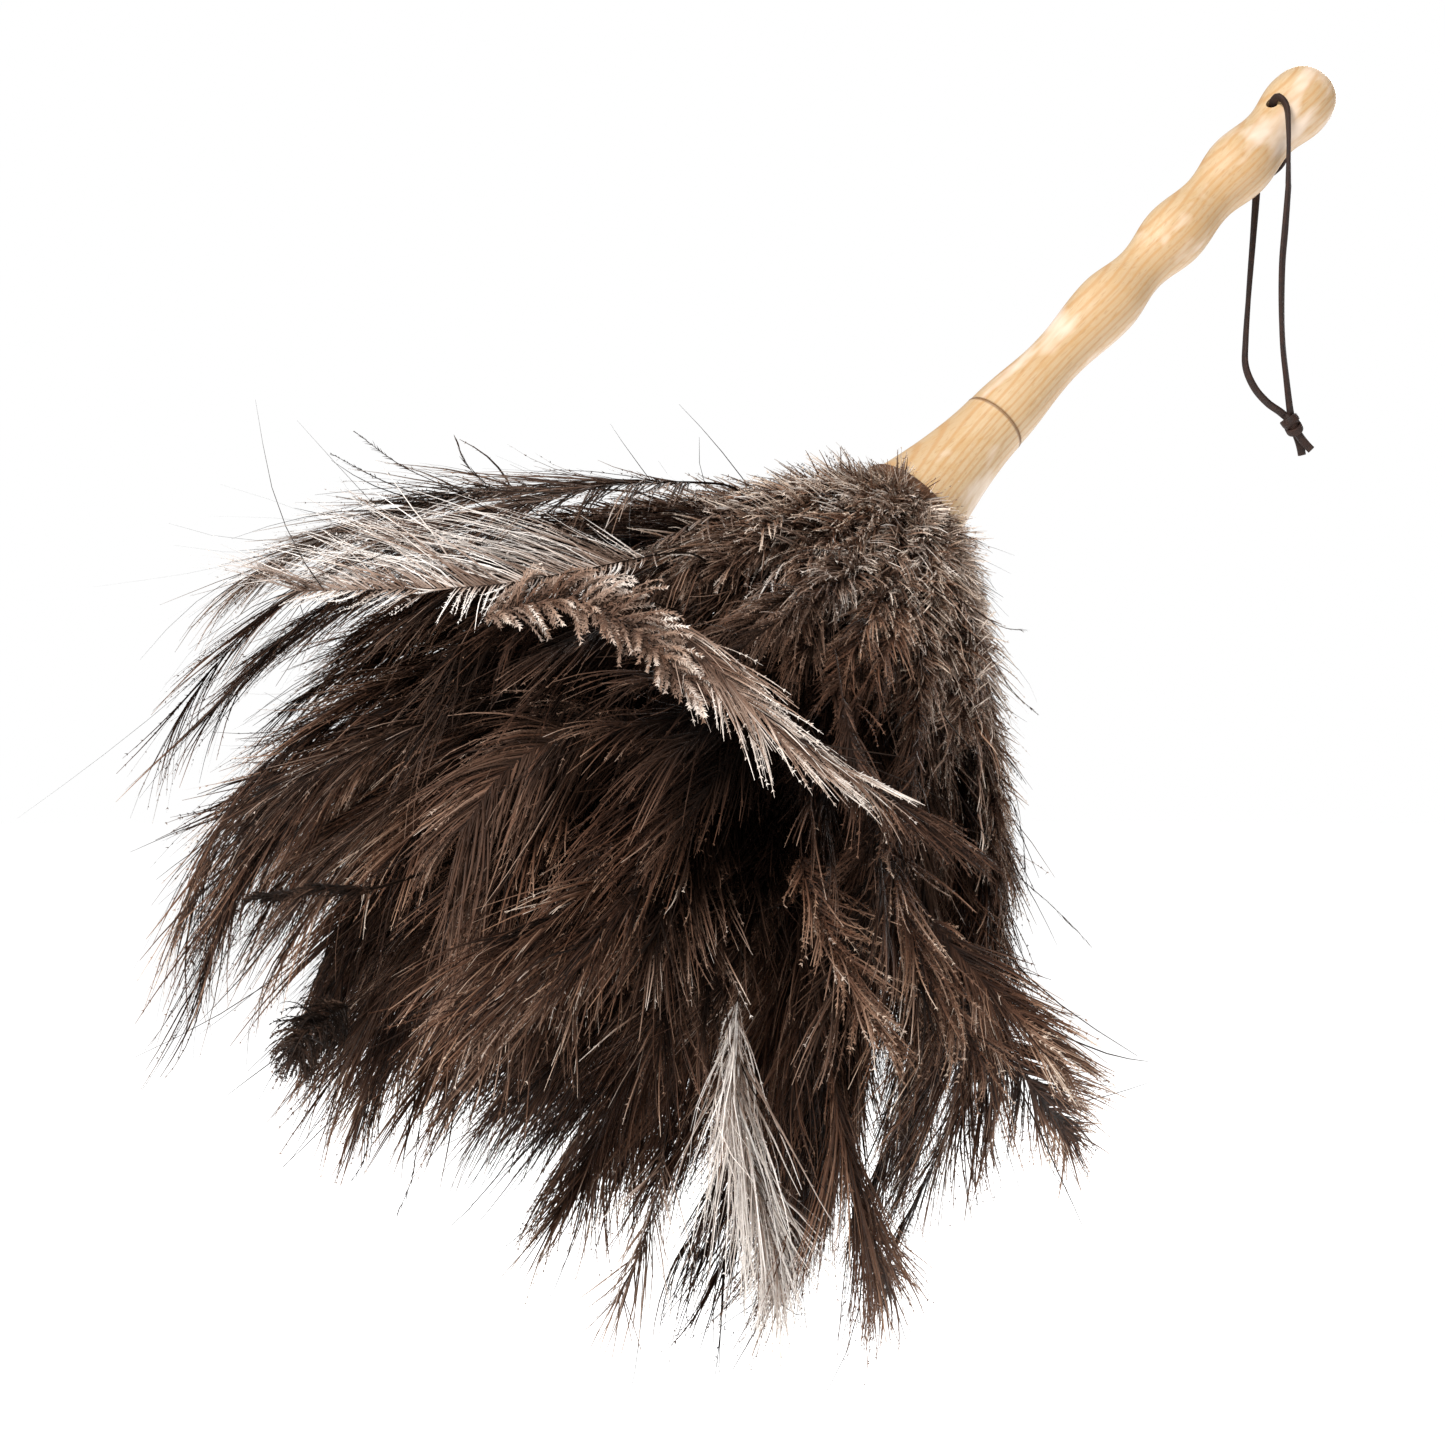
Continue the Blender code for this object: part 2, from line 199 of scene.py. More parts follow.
def add_studio():
    world = bpy.data.worlds.new("studio")
    world.use_nodes = True
    tree = world.node_tree
    background = tree.nodes["Background"]
    background.inputs["Color"].default_value = (1, 1, 1, 1)
    background.inputs["Strength"].default_value = SKY_STRENGTH
    seen = tree.nodes.new("ShaderNodeBackground")
    path = tree.nodes.new("ShaderNodeLightPath")
    either = tree.nodes.new("ShaderNodeMixShader")
    tree.links.new(path.outputs["Is Camera Ray"], either.inputs[0])
    tree.links.new(background.outputs[0], either.inputs[1])
    tree.links.new(seen.outputs[0], either.inputs[2])
    tree.links.new(either.outputs[0], tree.nodes["World Output"].inputs["Surface"])
    seen.inputs["Color"].default_value = (1, 1, 1, 1)
    bpy.context.scene.world = world
    bpy.context.scene.view_settings.view_transform = "Standard"
    middle = (CAD_LOW + CAD_HIGH) / 2
    add_area_light("key_light", middle + np.array(KEY_OFFSET), middle, KEY_SIZE, KEY_POWER)
    add_area_light("fill_light", middle + np.array(FILL_OFFSET), middle, FILL_SIZE, FILL_POWER)
    floor_mesh = bpy.data.meshes.new("floor")
    shape = bmesh.new()
    bmesh.ops.create_circle(shape, cap_ends=True, segments=64, radius=FLOOR_RADIUS)
    shape.to_mesh(floor_mesh)
    shape.free()
    floor = bpy.data.objects.new("floor", floor_mesh)
    floor.location = (middle[0], middle[1], CAD_LOW[2] - FLOOR_DROP)
    bpy.context.scene.collection.objects.link(floor)
    finish = bpy.data.materials.new("floor_paint")
    finish.use_nodes = True
    shader = finish.node_tree.nodes["Principled BSDF"]
    shader.inputs["Base Color"].default_value = (0.97, 0.97, 0.97, 1)
    shader.inputs["Roughness"].default_value = 0.9
    shader.inputs["Emission Color"].default_value = (1, 1, 1, 1)
    shader.inputs["Emission Strength"].default_value = FLOOR_GLOW
    floor_mesh.materials.append(finish)
    floor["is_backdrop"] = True


# ---------------------------------------------------------------- materials


class Shader:
    """A node material under construction."""

    def __init__(self, name, roughness=0.5, **sockets):
        self.material = bpy.data.materials.new(name)
        self.material.use_nodes = True
        self.tree = self.material.node_tree
        self.principled = self.tree.nodes["Principled BSDF"]
        self.principled.inputs["Roughness"].default_value = roughness
        for socket, value in sockets.items():
            self.principled.inputs[socket.replace("_", " ")].default_value = value

    def node(self, kind, settings=None, **inputs):
        made = self.tree.nodes.new(kind)
        for key, value in (settings or {}).items():
            setattr(made, key, value)
        for socket, value in inputs.items():
            self.feed(made.inputs[socket.replace("_", " ")], value)
        return made

    def feed(self, socket, value):
        if isinstance(value, bpy.types.NodeSocket):
            self.tree.links.new(value, socket)
        else:
            socket.default_value = value

    def place(self, scale):
        """Object coordinates, stretched."""
        coordinates = self.node("ShaderNodeTexCoord").outputs["Object"]
        return self.node("ShaderNodeMapping", Vector=coordinates, Scale=scale).outputs["Vector"]

    def noise(self, vector, scale, detail=2.0, roughness=0.5, distortion=0.0):
        return self.node(
            "ShaderNodeTexNoise",
            Vector=vector,
            Scale=scale,
            Detail=detail,
            Roughness=roughness,
            Distortion=distortion,
        ).outputs["Fac"]

    def span(self, value, low, high, to_low=0.0, to_high=1.0):
        """value from low…high brought to to_low…to_high, and kept inside."""
        made = self.node("ShaderNodeMapRange", {"clamp": True})
        made.inputs["From Min"].default_value = low
        made.inputs["From Max"].default_value = high
        made.inputs["To Min"].default_value = to_low
        made.inputs["To Max"].default_value = to_high
        self.feed(made.inputs["Value"], value)
        return made.outputs["Result"]

    def ramp(self, value, stops):
        made = self.node("ShaderNodeValToRGB", Fac=value)
        elements = made.color_ramp.elements
        while len(elements) < len(stops):
            elements.new(1.0)
        for element, (position, colour) in zip(elements, stops):
            element.position = position
            element.color = (*colour, 1)
        return made.outputs["Color"]

    def mix(self, share, a, b, blend="MIX"):
        made = self.node("ShaderNodeMix", {"data_type": "RGBA", "blend_type": blend})
        for socket, value in ((0, share), (6, a), (7, b)):
            value = (*value, 1) if isinstance(value, tuple) and len(value) == 3 else value
            self.feed(made.inputs[socket], value)
        return made.outputs[2]

    def maths(self, operation, a, b=0.0):
        made = self.node("ShaderNodeMath", {"operation": operation})
        self.feed(made.inputs[0], a)
        self.feed(made.inputs[1], b)
        return made.outputs[0]

    def bump(self, height, strength, distance):
        made = self.node("ShaderNodeBump", Height=height, Strength=strength, Distance=distance)
        self.feed(self.principled.inputs["Normal"], made.outputs["Normal"])

    def finish(self, colour, roughness=None):
        self.feed(self.principled.inputs["Base Color"], colour)
        if roughness is not None:
            self.feed(self.principled.inputs["Roughness"], roughness)
        return self.material


def wood_material():
    """Pale bamboo-like wood, whose layers lie across one side, so that every swell cuts them in rings."""
    shader = Shader("bamboo_wood", Coat_Weight=0.25, Coat_Roughness=0.25)
    wander = shader.noise(shader.place((40, 40, 6)), 1.0, 3.0)
    layers = shader.node(
        "ShaderNodeTexWave",
        {"wave_type": "BANDS", "bands_direction": "X", "wave_profile": "SIN"},
        Vector=shader.place((1.0, 0.35, 0.05)),
        Scale=120.0,
        Distortion=5.0,
        Detail=3.0,
        Detail_Scale=0.8,
    ).outputs["Fac"]
    fibres = shader.noise(shader.place((2600, 2600, 60)), 1.0, 2.0)
    flecks = shader.noise(shader.place((1500, 1500, 170)), 1.0, 1.0)
    mottle = shader.noise(shader.place((420, 420, 95)), 1.0, 4.0, 0.65, 0.6)
    painted_highlight_and_gloss = shader.noise(shader.place((60, 60, 22)), 1.0, 3.0)
    along = shader.node("ShaderNodeSeparateXYZ", Vector=shader.place((1, 1, 1))).outputs["Z"]
    colour = shader.ramp(wander, ((0.25, (0.455, 0.305, 0.165)), (0.75, (0.565, 0.42, 0.255))))
    colour = shader.mix(shader.span(mottle, 0.46, 0.66, 0.0, 0.55), colour, (0.47, 0.28, 0.11))
    colour = shader.mix(shader.span(layers, 0.60, 0.95, 0.0, 0.60), colour, (0.44, 0.23, 0.08))
    colour = shader.mix(shader.span(fibres, 0.42, 0.66, 0.0, 0.25), colour, (0.45, 0.26, 0.11))
    colour = shader.mix(shader.span(flecks, 0.60, 0.70, 0.0, 0.35), colour, (0.34, 0.17, 0.06))
    # Pale pinkish patches are painted highlight; the same patches are also less rough, for real gloss
    colour = shader.mix(shader.span(painted_highlight_and_gloss, 0.54, 0.66, 0.0, 0.75), colour, (0.75, 0.62, 0.51))
    # Darker bands round the groove and at the butt's end
    for station, reach, dark_band in ((GROOVE, 0.0011, (0.17, 0.085, 0.035)), (BUTT, 0.0016, (0.33, 0.15, 0.05))):
        off = shader.maths("ABSOLUTE", shader.maths("SUBTRACT", along, station))
        colour = shader.mix(shader.span(off, reach * 0.4, reach, 0.75, 0.0), colour, dark_band)
    roughness = shader.span(painted_highlight_and_gloss, 0.35, 0.7, 0.5, 0.33)
    shader.bump(fibres, 0.12, 0.0003)
    return shader.finish(colour, roughness)


def leather_material(name, dark, light, grain):
    shader = Shader(name, Specular_IOR_Level=0.25)
    place = shader.place((1, 1, 1))
    pores = shader.node(
        "ShaderNodeTexVoronoi", {"feature": "DISTANCE_TO_EDGE"}, Vector=place, Scale=1.0 / grain
    ).outputs["Distance"]
    wear = shader.noise(place, 420.0, 4.0, 0.6)
    colour = shader.ramp(wear, ((0.3, dark), (0.7, light)))
    creases = shader.span(pores, 0.0, 0.18, 0.0, 1.0)
    # Painted shade: darker along the grain's creases
    colour = shader.mix(shader.span(pores, 0.0, 0.12, 0.55, 0.0), colour, (0.010, 0.006, 0.004))
    shader.bump(creases, 0.35, 0.0002)
    return shader.finish(colour, shader.span(wear, 0.3, 0.7, 0.48, 0.68))


def wire_material():
    shader = Shader("binding_wire_steel", Metallic=1.0)
    scratches = shader.noise(shader.place((900, 900, 200)), 1.0, 3.0)
    colour = shader.ramp(scratches, ((0.3, (0.30, 0.27, 0.24)), (0.7, (0.48, 0.45, 0.41))))
    return shader.finish(colour, shader.span(scratches, 0.3, 0.7, 0.3, 0.5))


# The feathers' colours, by tone from dark to pale: (tone, colour of a cool barb, colour of a warm barb)
TONES = (
    (0.00, (0.005, 0.003, 0.002), (0.007, 0.0028, 0.0015)),
    (0.25, (0.030, 0.017, 0.011), (0.037, 0.015, 0.008)),
    (0.50, (0.120, 0.074, 0.052), (0.125, 0.056, 0.031)),
    (0.75, (0.340, 0.250, 0.200), (0.340, 0.195, 0.122)),
    (1.00, (0.900, 0.840, 0.790), (0.780, 0.610, 0.470)),
)


def feather_material():
    """A barb's colour is read from its place in the map: its tone across, and its warmth up."""
    shader = Shader("ostrich_feather", Specular_IOR_Level=0.12)
    tone_map = shader.node("ShaderNodeUVMap", {"uv_map": "OFBake"}).outputs["UV"]
    parts = shader.node("ShaderNodeSeparateXYZ", Vector=tone_map).outputs
    cool = shader.ramp(parts["X"], [(tone, c) for tone, c, w in TONES])
    warm = shader.ramp(parts["X"], [(tone, w) for tone, c, w in TONES])
    colour = shader.mix(parts["Y"], cool, warm)
    specks = shader.node("ShaderNodeMapping", Vector=tone_map, Scale=(90, 90, 1)).outputs[0]
    specks = shader.noise(specks, 1.0)
    colour = shader.mix(shader.span(specks, 0.3, 0.7, 0.0, 0.35), colour, (0.01, 0.007, 0.005))
    return shader.finish(colour, shader.span(parts["X"], 0.0, 1.0, 0.45, 0.7))


# ---------------------------------------------------------------- handle and collar


def half_wave(share):
    return (1 - math.cos(math.pi * share)) / 2


def handle_outline():
    """(distance, radius) from the tenon's tip to the butt's middle."""
    outline = [(-TENON_LENGTH, 0.0), (-TENON_LENGTH, TENON_TIP_RADIUS - 0.001)]
    outline += [(-TENON_LENGTH + 0.001, TENON_TIP_RADIUS), (-RIM - 0.0005, TENON_RADIUS)]
    outline += [(-RIM, TENON_RADIUS), (-RIM, FLARE_RADIUS - 0.0004), (-RIM + 0.0004, FLARE_RADIUS)]
    groove_start = GROOVE - GROOVE_WIDTH / 2
    for step in range(41):
        share = step / 40
        radius = GROOVE_LIP_RADIUS + (FLARE_RADIUS - GROOVE_LIP_RADIUS) * (1 - share) ** FLARE_BEND
        outline.append((groove_start * share, radius))
    for step in range(1, 8):
        share = step / 8
        radius = GROOVE_LIP_RADIUS - GROOVE_DEPTH * math.sin(math.pi * share) ** 0.6
        outline.append((groove_start + GROOVE_WIDTH * share, radius))
    lower = (GROOVE + GROOVE_WIDTH / 2, GROOVE_LIP_RADIUS)
    for upper in SWELLS:
        steps = 3 if upper is SWELLS[0] else 22
        for step in range(steps):
            share = step / steps
            rise = half_wave(share)
            outline.append(
                (lower[0] + (upper[0] - lower[0]) * share, lower[1] + (upper[1] - lower[1]) * rise)
            )
        lower = upper
    for step in range(24):
        turn = math.pi / 2 * step / 23
        outline.append(
            (
                lower[0] + (BUTT - lower[0]) * math.sin(turn),
                BUTT_FLAT_RADIUS + (lower[1] - BUTT_FLAT_RADIUS) * math.cos(turn),
            )
        )
    outline.append((BUTT, 0.0))
    return outline


def add_turned(name, outline, sides, material, closed=False):
    """A piece turned on the handle's axis; its object's own +Z is that axis."""
    shape = bmesh.new()
    rings = []
    for distance, radius in outline:
        if radius == 0.0:
            rings.append([shape.verts.new((0, 0, distance))])
            continue
        turns = [2 * math.pi * i / sides for i in range(sides)]
        rings.append(
            [shape.verts.new((radius * math.cos(t), radius * math.sin(t), distance)) for t in turns]
        )
    pairs = list(zip(rings, rings[1:] + rings[:1] if closed else rings[1:]))
    for low, high in pairs:
        for i in range(sides):
            j = (i + 1) % sides
            corners = [low[i % len(low)], low[j % len(low)], high[j % len(high)], high[i % len(high)]]
            shape.faces.new(list(dict.fromkeys(corners)))
    bmesh.ops.recalc_face_normals(shape, faces=shape.faces[:])
    mesh = bpy.data.meshes.new(name)
    shape.to_mesh(mesh)
    shape.free()
    mesh.shade_smooth()
    piece = bpy.data.objects.new(name, mesh)
    piece.matrix_world = HANDLE_MATRIX
    bpy.context.scene.collection.objects.link(piece)
    mesh.materials.append(material)
    return piece


def bore_direction():
    """Towards the bore's upper mouth, in the row frame."""
    return -math.cos(BORE_ROLL) * UNDER - math.sin(BORE_ROLL) * SIDE


def apply_modifiers(piece):
    evaluated = piece.evaluated_get(bpy.context.evaluated_depsgraph_get())
    mesh = bpy.data.meshes.new_from_object(evaluated)
    piece.modifiers.clear()
    old = piece.data
    piece.data = mesh
    bpy.data.meshes.remove(old)


def add_handle(material):
    handle = add_turned("turned_handle", handle_outline(), 96, material)
    shape = bmesh.new()
    bmesh.ops.create_cone(
        shape, cap_ends=True, segments=48, radius1=BORE_RADIUS, radius2=BORE_RADIUS, depth=0.06
    )
    drill_mesh = bpy.data.meshes.new("drill")
    shape.to_mesh(drill_mesh)
    shape.free()
    drill = bpy.data.objects.new("drill", drill_mesh)
    drill.rotation_euler = Vector(bore_direction()).to_track_quat("Z", "Y").to_euler()
    drill.location = BORE_MIDDLE
    bpy.context.scene.collection.objects.link(drill)
    cut = handle.modifiers.new("bore", "BOOLEAN")
    cut.operation = "DIFFERENCE"
    cut.object = drill
    cut.solver = "EXACT"
    bpy.context.view_layer.update()
    apply_modifiers(handle)
    bpy.data.objects.remove(drill)
    handle.data.set_sharp_from_angle(angle=math.radians(40))
    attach(handle, "duster")
    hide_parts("handle")


def add_collar(material):
    inner, outer = COLLAR_INNER_RADIUS, COLLAR_INNER_RADIUS + COLLAR_THICKNESS
    low, high, curve = -RIM, COLLAR_LIP, COLLAR_THICKNESS / 2
    outline = [(low, inner), (low, outer)]
    for step in range(9):
        turn = math.pi * step / 8
        outline.append(
            (high - curve + curve * math.sin(turn), (inner + outer) / 2 + curve * math.cos(turn))
        )
    collar = add_turned("collar_band", outline, 128, material, closed=True)
    collar.data.set_sharp_from_angle(angle=math.radians(50))
    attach(collar, "duster")
    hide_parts("leather_collar")


# ---------------------------------------------------------------- lace


def smooth_route(points, spacing):
    """Evenly spaced points on a smooth curve through the given ones."""
    points = [np.array(p, float) for p in points]
    ends = [2 * points[0] - points[1], *points, 2 * points[-1] - points[-2]]
    fine = []
    for a, b, c, d in zip(ends, ends[1:], ends[2:], ends[3:]):
        for t in np.arange(24) / 24:
            fine.append(
                0.5
                * (
                    2 * b
                    + (c - a) * t
                    + (2 * a - 5 * b + 4 * c - d) * t**2
                    + (3 * b - a - 3 * c + d) * t**3
                )
            )
    fine = np.array(fine + [points[-1]])
    return evenly(fine, spacing)


def evenly(points, spacing):
    walked = np.concatenate(([0], np.cumsum(np.linalg.norm(np.diff(points, axis=0), axis=1))))
    count = max(3, round(walked[-1] / spacing) + 1)
    wanted = np.linspace(0, walked[-1], count)
    return np.column_stack([np.interp(wanted, walked, points[:, k]) for k in range(3)])


def length_of(route):
    return float(np.linalg.norm(np.diff(route, axis=0), axis=1).sum())


def strap(name, route, facing, turns, material, width=LACE_WIDTH, thickness=LACE_THICKNESS):
    """A flat lace along the route. facing is the broad face's direction at the start, and turns the angles by
    which it has twisted from there at evenly spread places."""
    route = np.array(route)
    tangent = unit(np.gradient(route, axis=0))
    normal = np.array(facing, float)
    corner = []
    for step in range(16):
        turn = 2 * math.pi * (step + 0.5) / 16
        c, s = math.cos(turn), math.sin(turn)
        corner.append(
            (
                width / 2 * math.copysign(abs(c) ** 0.45, c),
                thickness / 2 * math.copysign(abs(s) ** 0.45, s),
            )
        )
    twist = np.interp(np.linspace(0, 1, len(route)), np.linspace(0, 1, len(turns)), turns)
    shape = bmesh.new()
    rings = []
    for k, (point, way) in enumerate(zip(route, tangent)):
        normal = unit(normal - way * (normal @ way))
        across = np.cross(way, normal)
        c, s = math.cos(twist[k]), math.sin(twist[k])
        face, edge = normal * c + across * s, across * c - normal * s
        rings.append([shape.verts.new(point + edge * x + face * y) for x, y in corner])
    for low, high in zip(rings, rings[1:]):
        for i in range(len(corner)):
            j = (i + 1) % len(corner)
            shape.faces.new((low[i], low[j], high[j], high[i]))
    shape.faces.new(list(reversed(rings[0])))
    shape.faces.new(rings[-1])
    bmesh.ops.recalc_face_normals(shape, faces=shape.faces[:])
    mesh = bpy.data.meshes.new(name)
    shape.to_mesh(mesh)
    shape.free()
    mesh.shade_smooth()
    mesh.set_sharp_from_angle(angle=math.radians(48))
    mesh.materials.append(material)
    piece = bpy.data.objects.new(name, mesh)
    bpy.context.scene.collection.objects.link(piece)
    return piece


# The lace's route, as offsets from the middle of the bore, over the handle's near side and under its far side
OVER = (
    (-0.0073, -0.0097, 0.0090),
    (-0.0052, -0.0122, 0.0050),
    (-0.0058, -0.0142, -0.0050),
    (-0.0060, -0.0145, -0.0150),
    (-0.0060, -0.0143, -0.0257),
)
UNDERNEATH = (
    (0.0083, 0.0066, -0.0108),
    (0.0072, 0.0078, -0.0142),
    (0.0030, 0.0080, -0.0178),
    (-0.0020, 0.0076, -0.0208),
    (-0.0052, 0.0066, -0.0234),
    (-0.0060, 0.0060, -0.0257),
)
UP_THE_BORE = (0.0000, 0.0055, 0.0110)
DOWN_THE_BORE = (0.0000, -0.0050, -0.0100)
FRONT_STRAND = (
    (-0.0060, -0.0143, -0.0275),
    (-0.0068, -0.0134, -0.0430),
    (-0.0073, -0.0122, -0.0570),
    (-0.0064, -0.0106, -0.0736),
    (-0.0045, -0.0090, -0.0888),
    (-0.0013, -0.0072, -0.1020),
    (0.0014, -0.0056, -0.1118),
    (0.0030, -0.0046, -0.1160),
)
BACK_STRAND = (
    (-0.0060, 0.0060, -0.0275),
    (-0.0080, 0.0056, -0.0460),
    (-0.0104, 0.0050, -0.0660),
    (-0.0134, 0.0032, -0.0860),
    (-0.0146, 0.0016, -0.0965),
    (-0.0116, 0.0000, -0.1048),
    (-0.0064, -0.0014, -0.1106),
    (-0.0012, -0.0026, -0.1140),
    (0.0022, -0.0034, -0.1165),
)
KNOT_MIDDLE = np.array((0.0038, -0.0040, -0.1190))
KNOT_SIZE = np.array((0.0072, 0.0076, 0.0108))
TAIL_WAY = unit(np.array((0.577, 0.0, -0.817)))
TAIL_SPLIT = np.array((0.463, 0.886, 0.0))


def add_lace(material):
    out = bore_direction()
    front = [BORE_MIDDLE + out * rise for rise in UP_THE_BORE]
    front += [BORE_MIDDLE + np.array(p) for p in OVER + FRONT_STRAND]
    back = [BORE_MIDDLE + out * rise for rise in DOWN_THE_BORE]
    back += [BORE_MIDDLE + np.array(p) for p in UNDERNEATH + BACK_STRAND]
    knot = add_knot(material)
    pieces = [knot, *add_tails(material)]
    for name, points, nodes, mouth, turns, with_pieces in (
        ("lace_front", front, ("lace_through_handle", "lace_front_strand"), 0.0110,
         (0, 0.1, 0.5, 0.9, 1.1, 1.0, 0.8, 0.9, 1.2), pieces),
        ("lace_back", back, ("lace_back_strand",), -0.0100, (0, 0.4, 0.9, 1.2, 0.9, 0.5), ()),
    ):
        route = smooth_route(points, 0.0015)
        cord = strap(name, route, AXIS, turns, material)
        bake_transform(cord)
        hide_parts(*nodes)


def add_knot(material):
    """An overhand knot: the doubled lace turned round itself and pulled tight."""
    across = unit(np.cross(TAIL_WAY, TAIL_SPLIT))
    split = unit(np.cross(across, TAIL_WAY))
    half = KNOT_SIZE / 2
    middle = BORE_MIDDLE + KNOT_MIDDLE
    parts = []
    wraps = ((-0.30, 0.35, 1.0), (0.36, -0.5, 0.92), (0.02, 1.1, 0.86))
    for number, (shift, lean, fullness) in enumerate(wraps):
        turn = np.linspace(0, 2 * math.pi, 33)
        radius = (half[0] + half[1]) / 2 * fullness - LACE_THICKNESS * 0.45
        ring = (
            middle
            + TAIL_WAY * (shift * half[2] + np.sin(turn)[:, None] * lean * radius * 0.8)
            + across * np.cos(turn)[:, None] * radius
            + split * np.sin(turn)[:, None] * radius
        )
        parts.append(
            strap(f"wrap_{number}", ring, across, (0, 0.25, -0.2, 0), material, LACE_WIDTH * 0.95)
        )
    core = bmesh.new()
    bmesh.ops.create_icosphere(core, subdivisions=3, radius=1.0)
    turn = np.column_stack((across, split, TAIL_WAY))
    for vertex in core.verts:
        local = np.array(vertex.co) * (half[0] * 0.72, half[1] * 0.72, half[2] * 0.95)
        vertex.co = middle + turn @ local
    mesh = bpy.data.meshes.new("core")
    core.to_mesh(mesh)
    core.free()
    mesh.shade_smooth()
    mesh.materials.append(material)
    centre = bpy.data.objects.new("core", mesh)
    bpy.context.scene.collection.objects.link(centre)
    knot = join("lace_overhand_knot", [*parts, centre])
    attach(knot, "hanging_loop")
    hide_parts("lace_knot")
    return knot


def join(name, pieces):
    """One mesh of several, without operators."""
    whole = bmesh.new()
    for piece in pieces:
        whole.from_mesh(piece.data)
    mesh = bpy.data.meshes.new(name)
    whole.to_mesh(mesh)
    whole.free()
    mesh.materials.append(pieces[0].data.materials[0])
    for piece in pieces:
        old = piece.data
        bpy.data.objects.remove(piece)
        bpy.data.meshes.remove(old)
    made = bpy.data.objects.new(name, mesh)
    bpy.context.scene.collection.objects.link(made)
    return made


def add_tails(material):
    across = unit(np.cross(TAIL_WAY, TAIL_SPLIT))
    made = []
    for name, side, node, swing_out in (
        ("lace_end_front", -1, "lace_tail_front", 0.0004),
        ("lace_end_back", 1, "lace_tail_back", -0.0005),
    ):
        start = BORE_MIDDLE + KNOT_MIDDLE + TAIL_SPLIT * 0.0016 * side + TAIL_WAY * 0.0030
        run = np.linspace(0, 1, 14)[:, None]
        route = start + TAIL_WAY * 0.0102 * run + across * swing_out * run**2 * 4
        tail = strap(name, route, TAIL_SPLIT, (0.25 * side, 0.1 * side, -0.2 * side), material)
        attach(tail, "hanging_loop")
        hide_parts(node)
        made.append(tail)
    return made


# ---------------------------------------------------------------- feathers


class Barbs:
    """Ribbons gathered for one mesh: their places, shading normals and tone map."""

    def __init__(self):
        self.places, self.normals, self.tones, self.corners = [], [], [], []
        self.count = 0

    def keep(self, places, normals, tones, corners):
        """Adds faces: corners counts from the first of these places."""
        self.places.append(places.reshape(-1, 3))
        self.normals.append(normals.reshape(-1, 3))
        self.tones.append(np.clip(tones.reshape(-1, 2), 0.01, 0.99))
        self.corners.append(self.count + corners)
        self.count += len(self.places[-1])

    def add(self, spine, width, face, tone, warmth):
        """spine (n, steps, 3); width (n, steps); face the ribbons' facing, (n, 3) or (n, steps, 3);
        tone (n, steps); warmth (n,)."""
        count, steps, _ = spine.shape
        if count == 0:
            return
        way = np.gradient(spine, axis=1)
        if face.ndim == 2:
            face = np.broadcast_to(face[:, None, :], spine.shape)
        across = unit(np.cross(way, face) + 1e-9)
        face = unit(np.cross(across, way) + 1e-9)
        half = across * width[..., None] / 2
        places = np.stack((spine - half, spine + half), axis=2)
        normals = np.stack((unit(face - across * 0.9), unit(face + across * 0.9)), axis=2)
        tones = np.empty((count, steps, 2, 2))
        tones[..., 0] = tone[..., None]
        tones[..., 1] = warmth[:, None, None]
        tones[:, :, 1, 1] += 0.004
        index = np.arange(count * steps * 2).reshape(count, steps, 2)
        quads = (index[:, :-1, 0], index[:, :-1, 1], index[:, 1:, 1], index[:, 1:, 0])
        self.keep(places, normals, tones, np.stack(quads, axis=-1).reshape(-1, 4))

    def add_points(self, root, tip, width, face, tone, warmth):
        """Pointed barbules from root to tip, all (n, 3); tone and warmth (n,)."""
        way = unit(tip - root + 1e-12)
        across = unit(np.cross(way, face) + 1e-9)
        half = across * width / 2
        places = np.stack((root - half, root + half, tip), axis=1)
        normals = np.broadcast_to(face[:, None, :], places.shape)
        tones = np.empty((len(root), 3, 2))
        # A barbule's point is a little paler: painted soft halo of light through its edge
        tones[..., 0] = tone[:, None] + (0.0, 0.0, 0.05)
        tones[..., 1] = warmth[:, None] + (0.0, 0.004, 0.002)
        self.keep(places, normals, tones, np.arange(len(root) * 3).reshape(-1, 3))

    def build(self, name, material):
        """One mesh of all the ribbons and barbules, whose map is their tones."""
        vertices, normals, tones = (np.vstack(x) for x in (self.places, self.normals, self.tones))
        corners = np.concatenate([c.ravel() for c in self.corners]).astype(np.int32)
        sizes = np.concatenate([np.full(len(c), c.shape[1]) for c in self.corners])
        starts = np.concatenate(([0], np.cumsum(sizes)[:-1])).astype(np.int32)
        mesh = bpy.data.meshes.new(name)
        mesh.vertices.add(len(vertices))
        mesh.vertices.foreach_set("co", vertices.astype(np.float32).ravel())
        mesh.loops.add(len(corners))
        mesh.loops.foreach_set("vertex_index", corners)
        mesh.polygons.add(len(starts))
        mesh.polygons.foreach_set("loop_start", starts)
        mesh.update(calc_edges=True)
        mesh.shade_smooth()
        uv = mesh.uv_layers.new(name="OFBake")
        uv.uv.foreach_set("vector", tones[corners].astype(np.float32).ravel())
        mesh.normals_split_custom_set_from_vertices(normals)
        mesh.materials.append(material)
        piece = bpy.data.objects.new(name, mesh)
        bpy.context.scene.collection.objects.link(piece)
        return piece


def sagged(places):
    """Feathers droop the more, the further they stand off the handle's axis."""
    offset = places - COLLAR_EDGE
    radius = np.linalg.norm(offset - (offset @ AXIS)[..., None] * AXIS, axis=-1)
    drop = SAG * (1 - np.exp(-np.maximum(radius - 0.0124, 0) / SAG_REACH))
    return places - drop[..., None] * UP


def bezier(share, points):
    share = share[:, None]
    a, b, c, d = (np.array(p, float) for p in points)
    return (
        a * (1 - share) ** 3
        + 3 * b * share * (1 - share) ** 2
        + 3 * c * share**2 * (1 - share)
        + d * share**3
    )


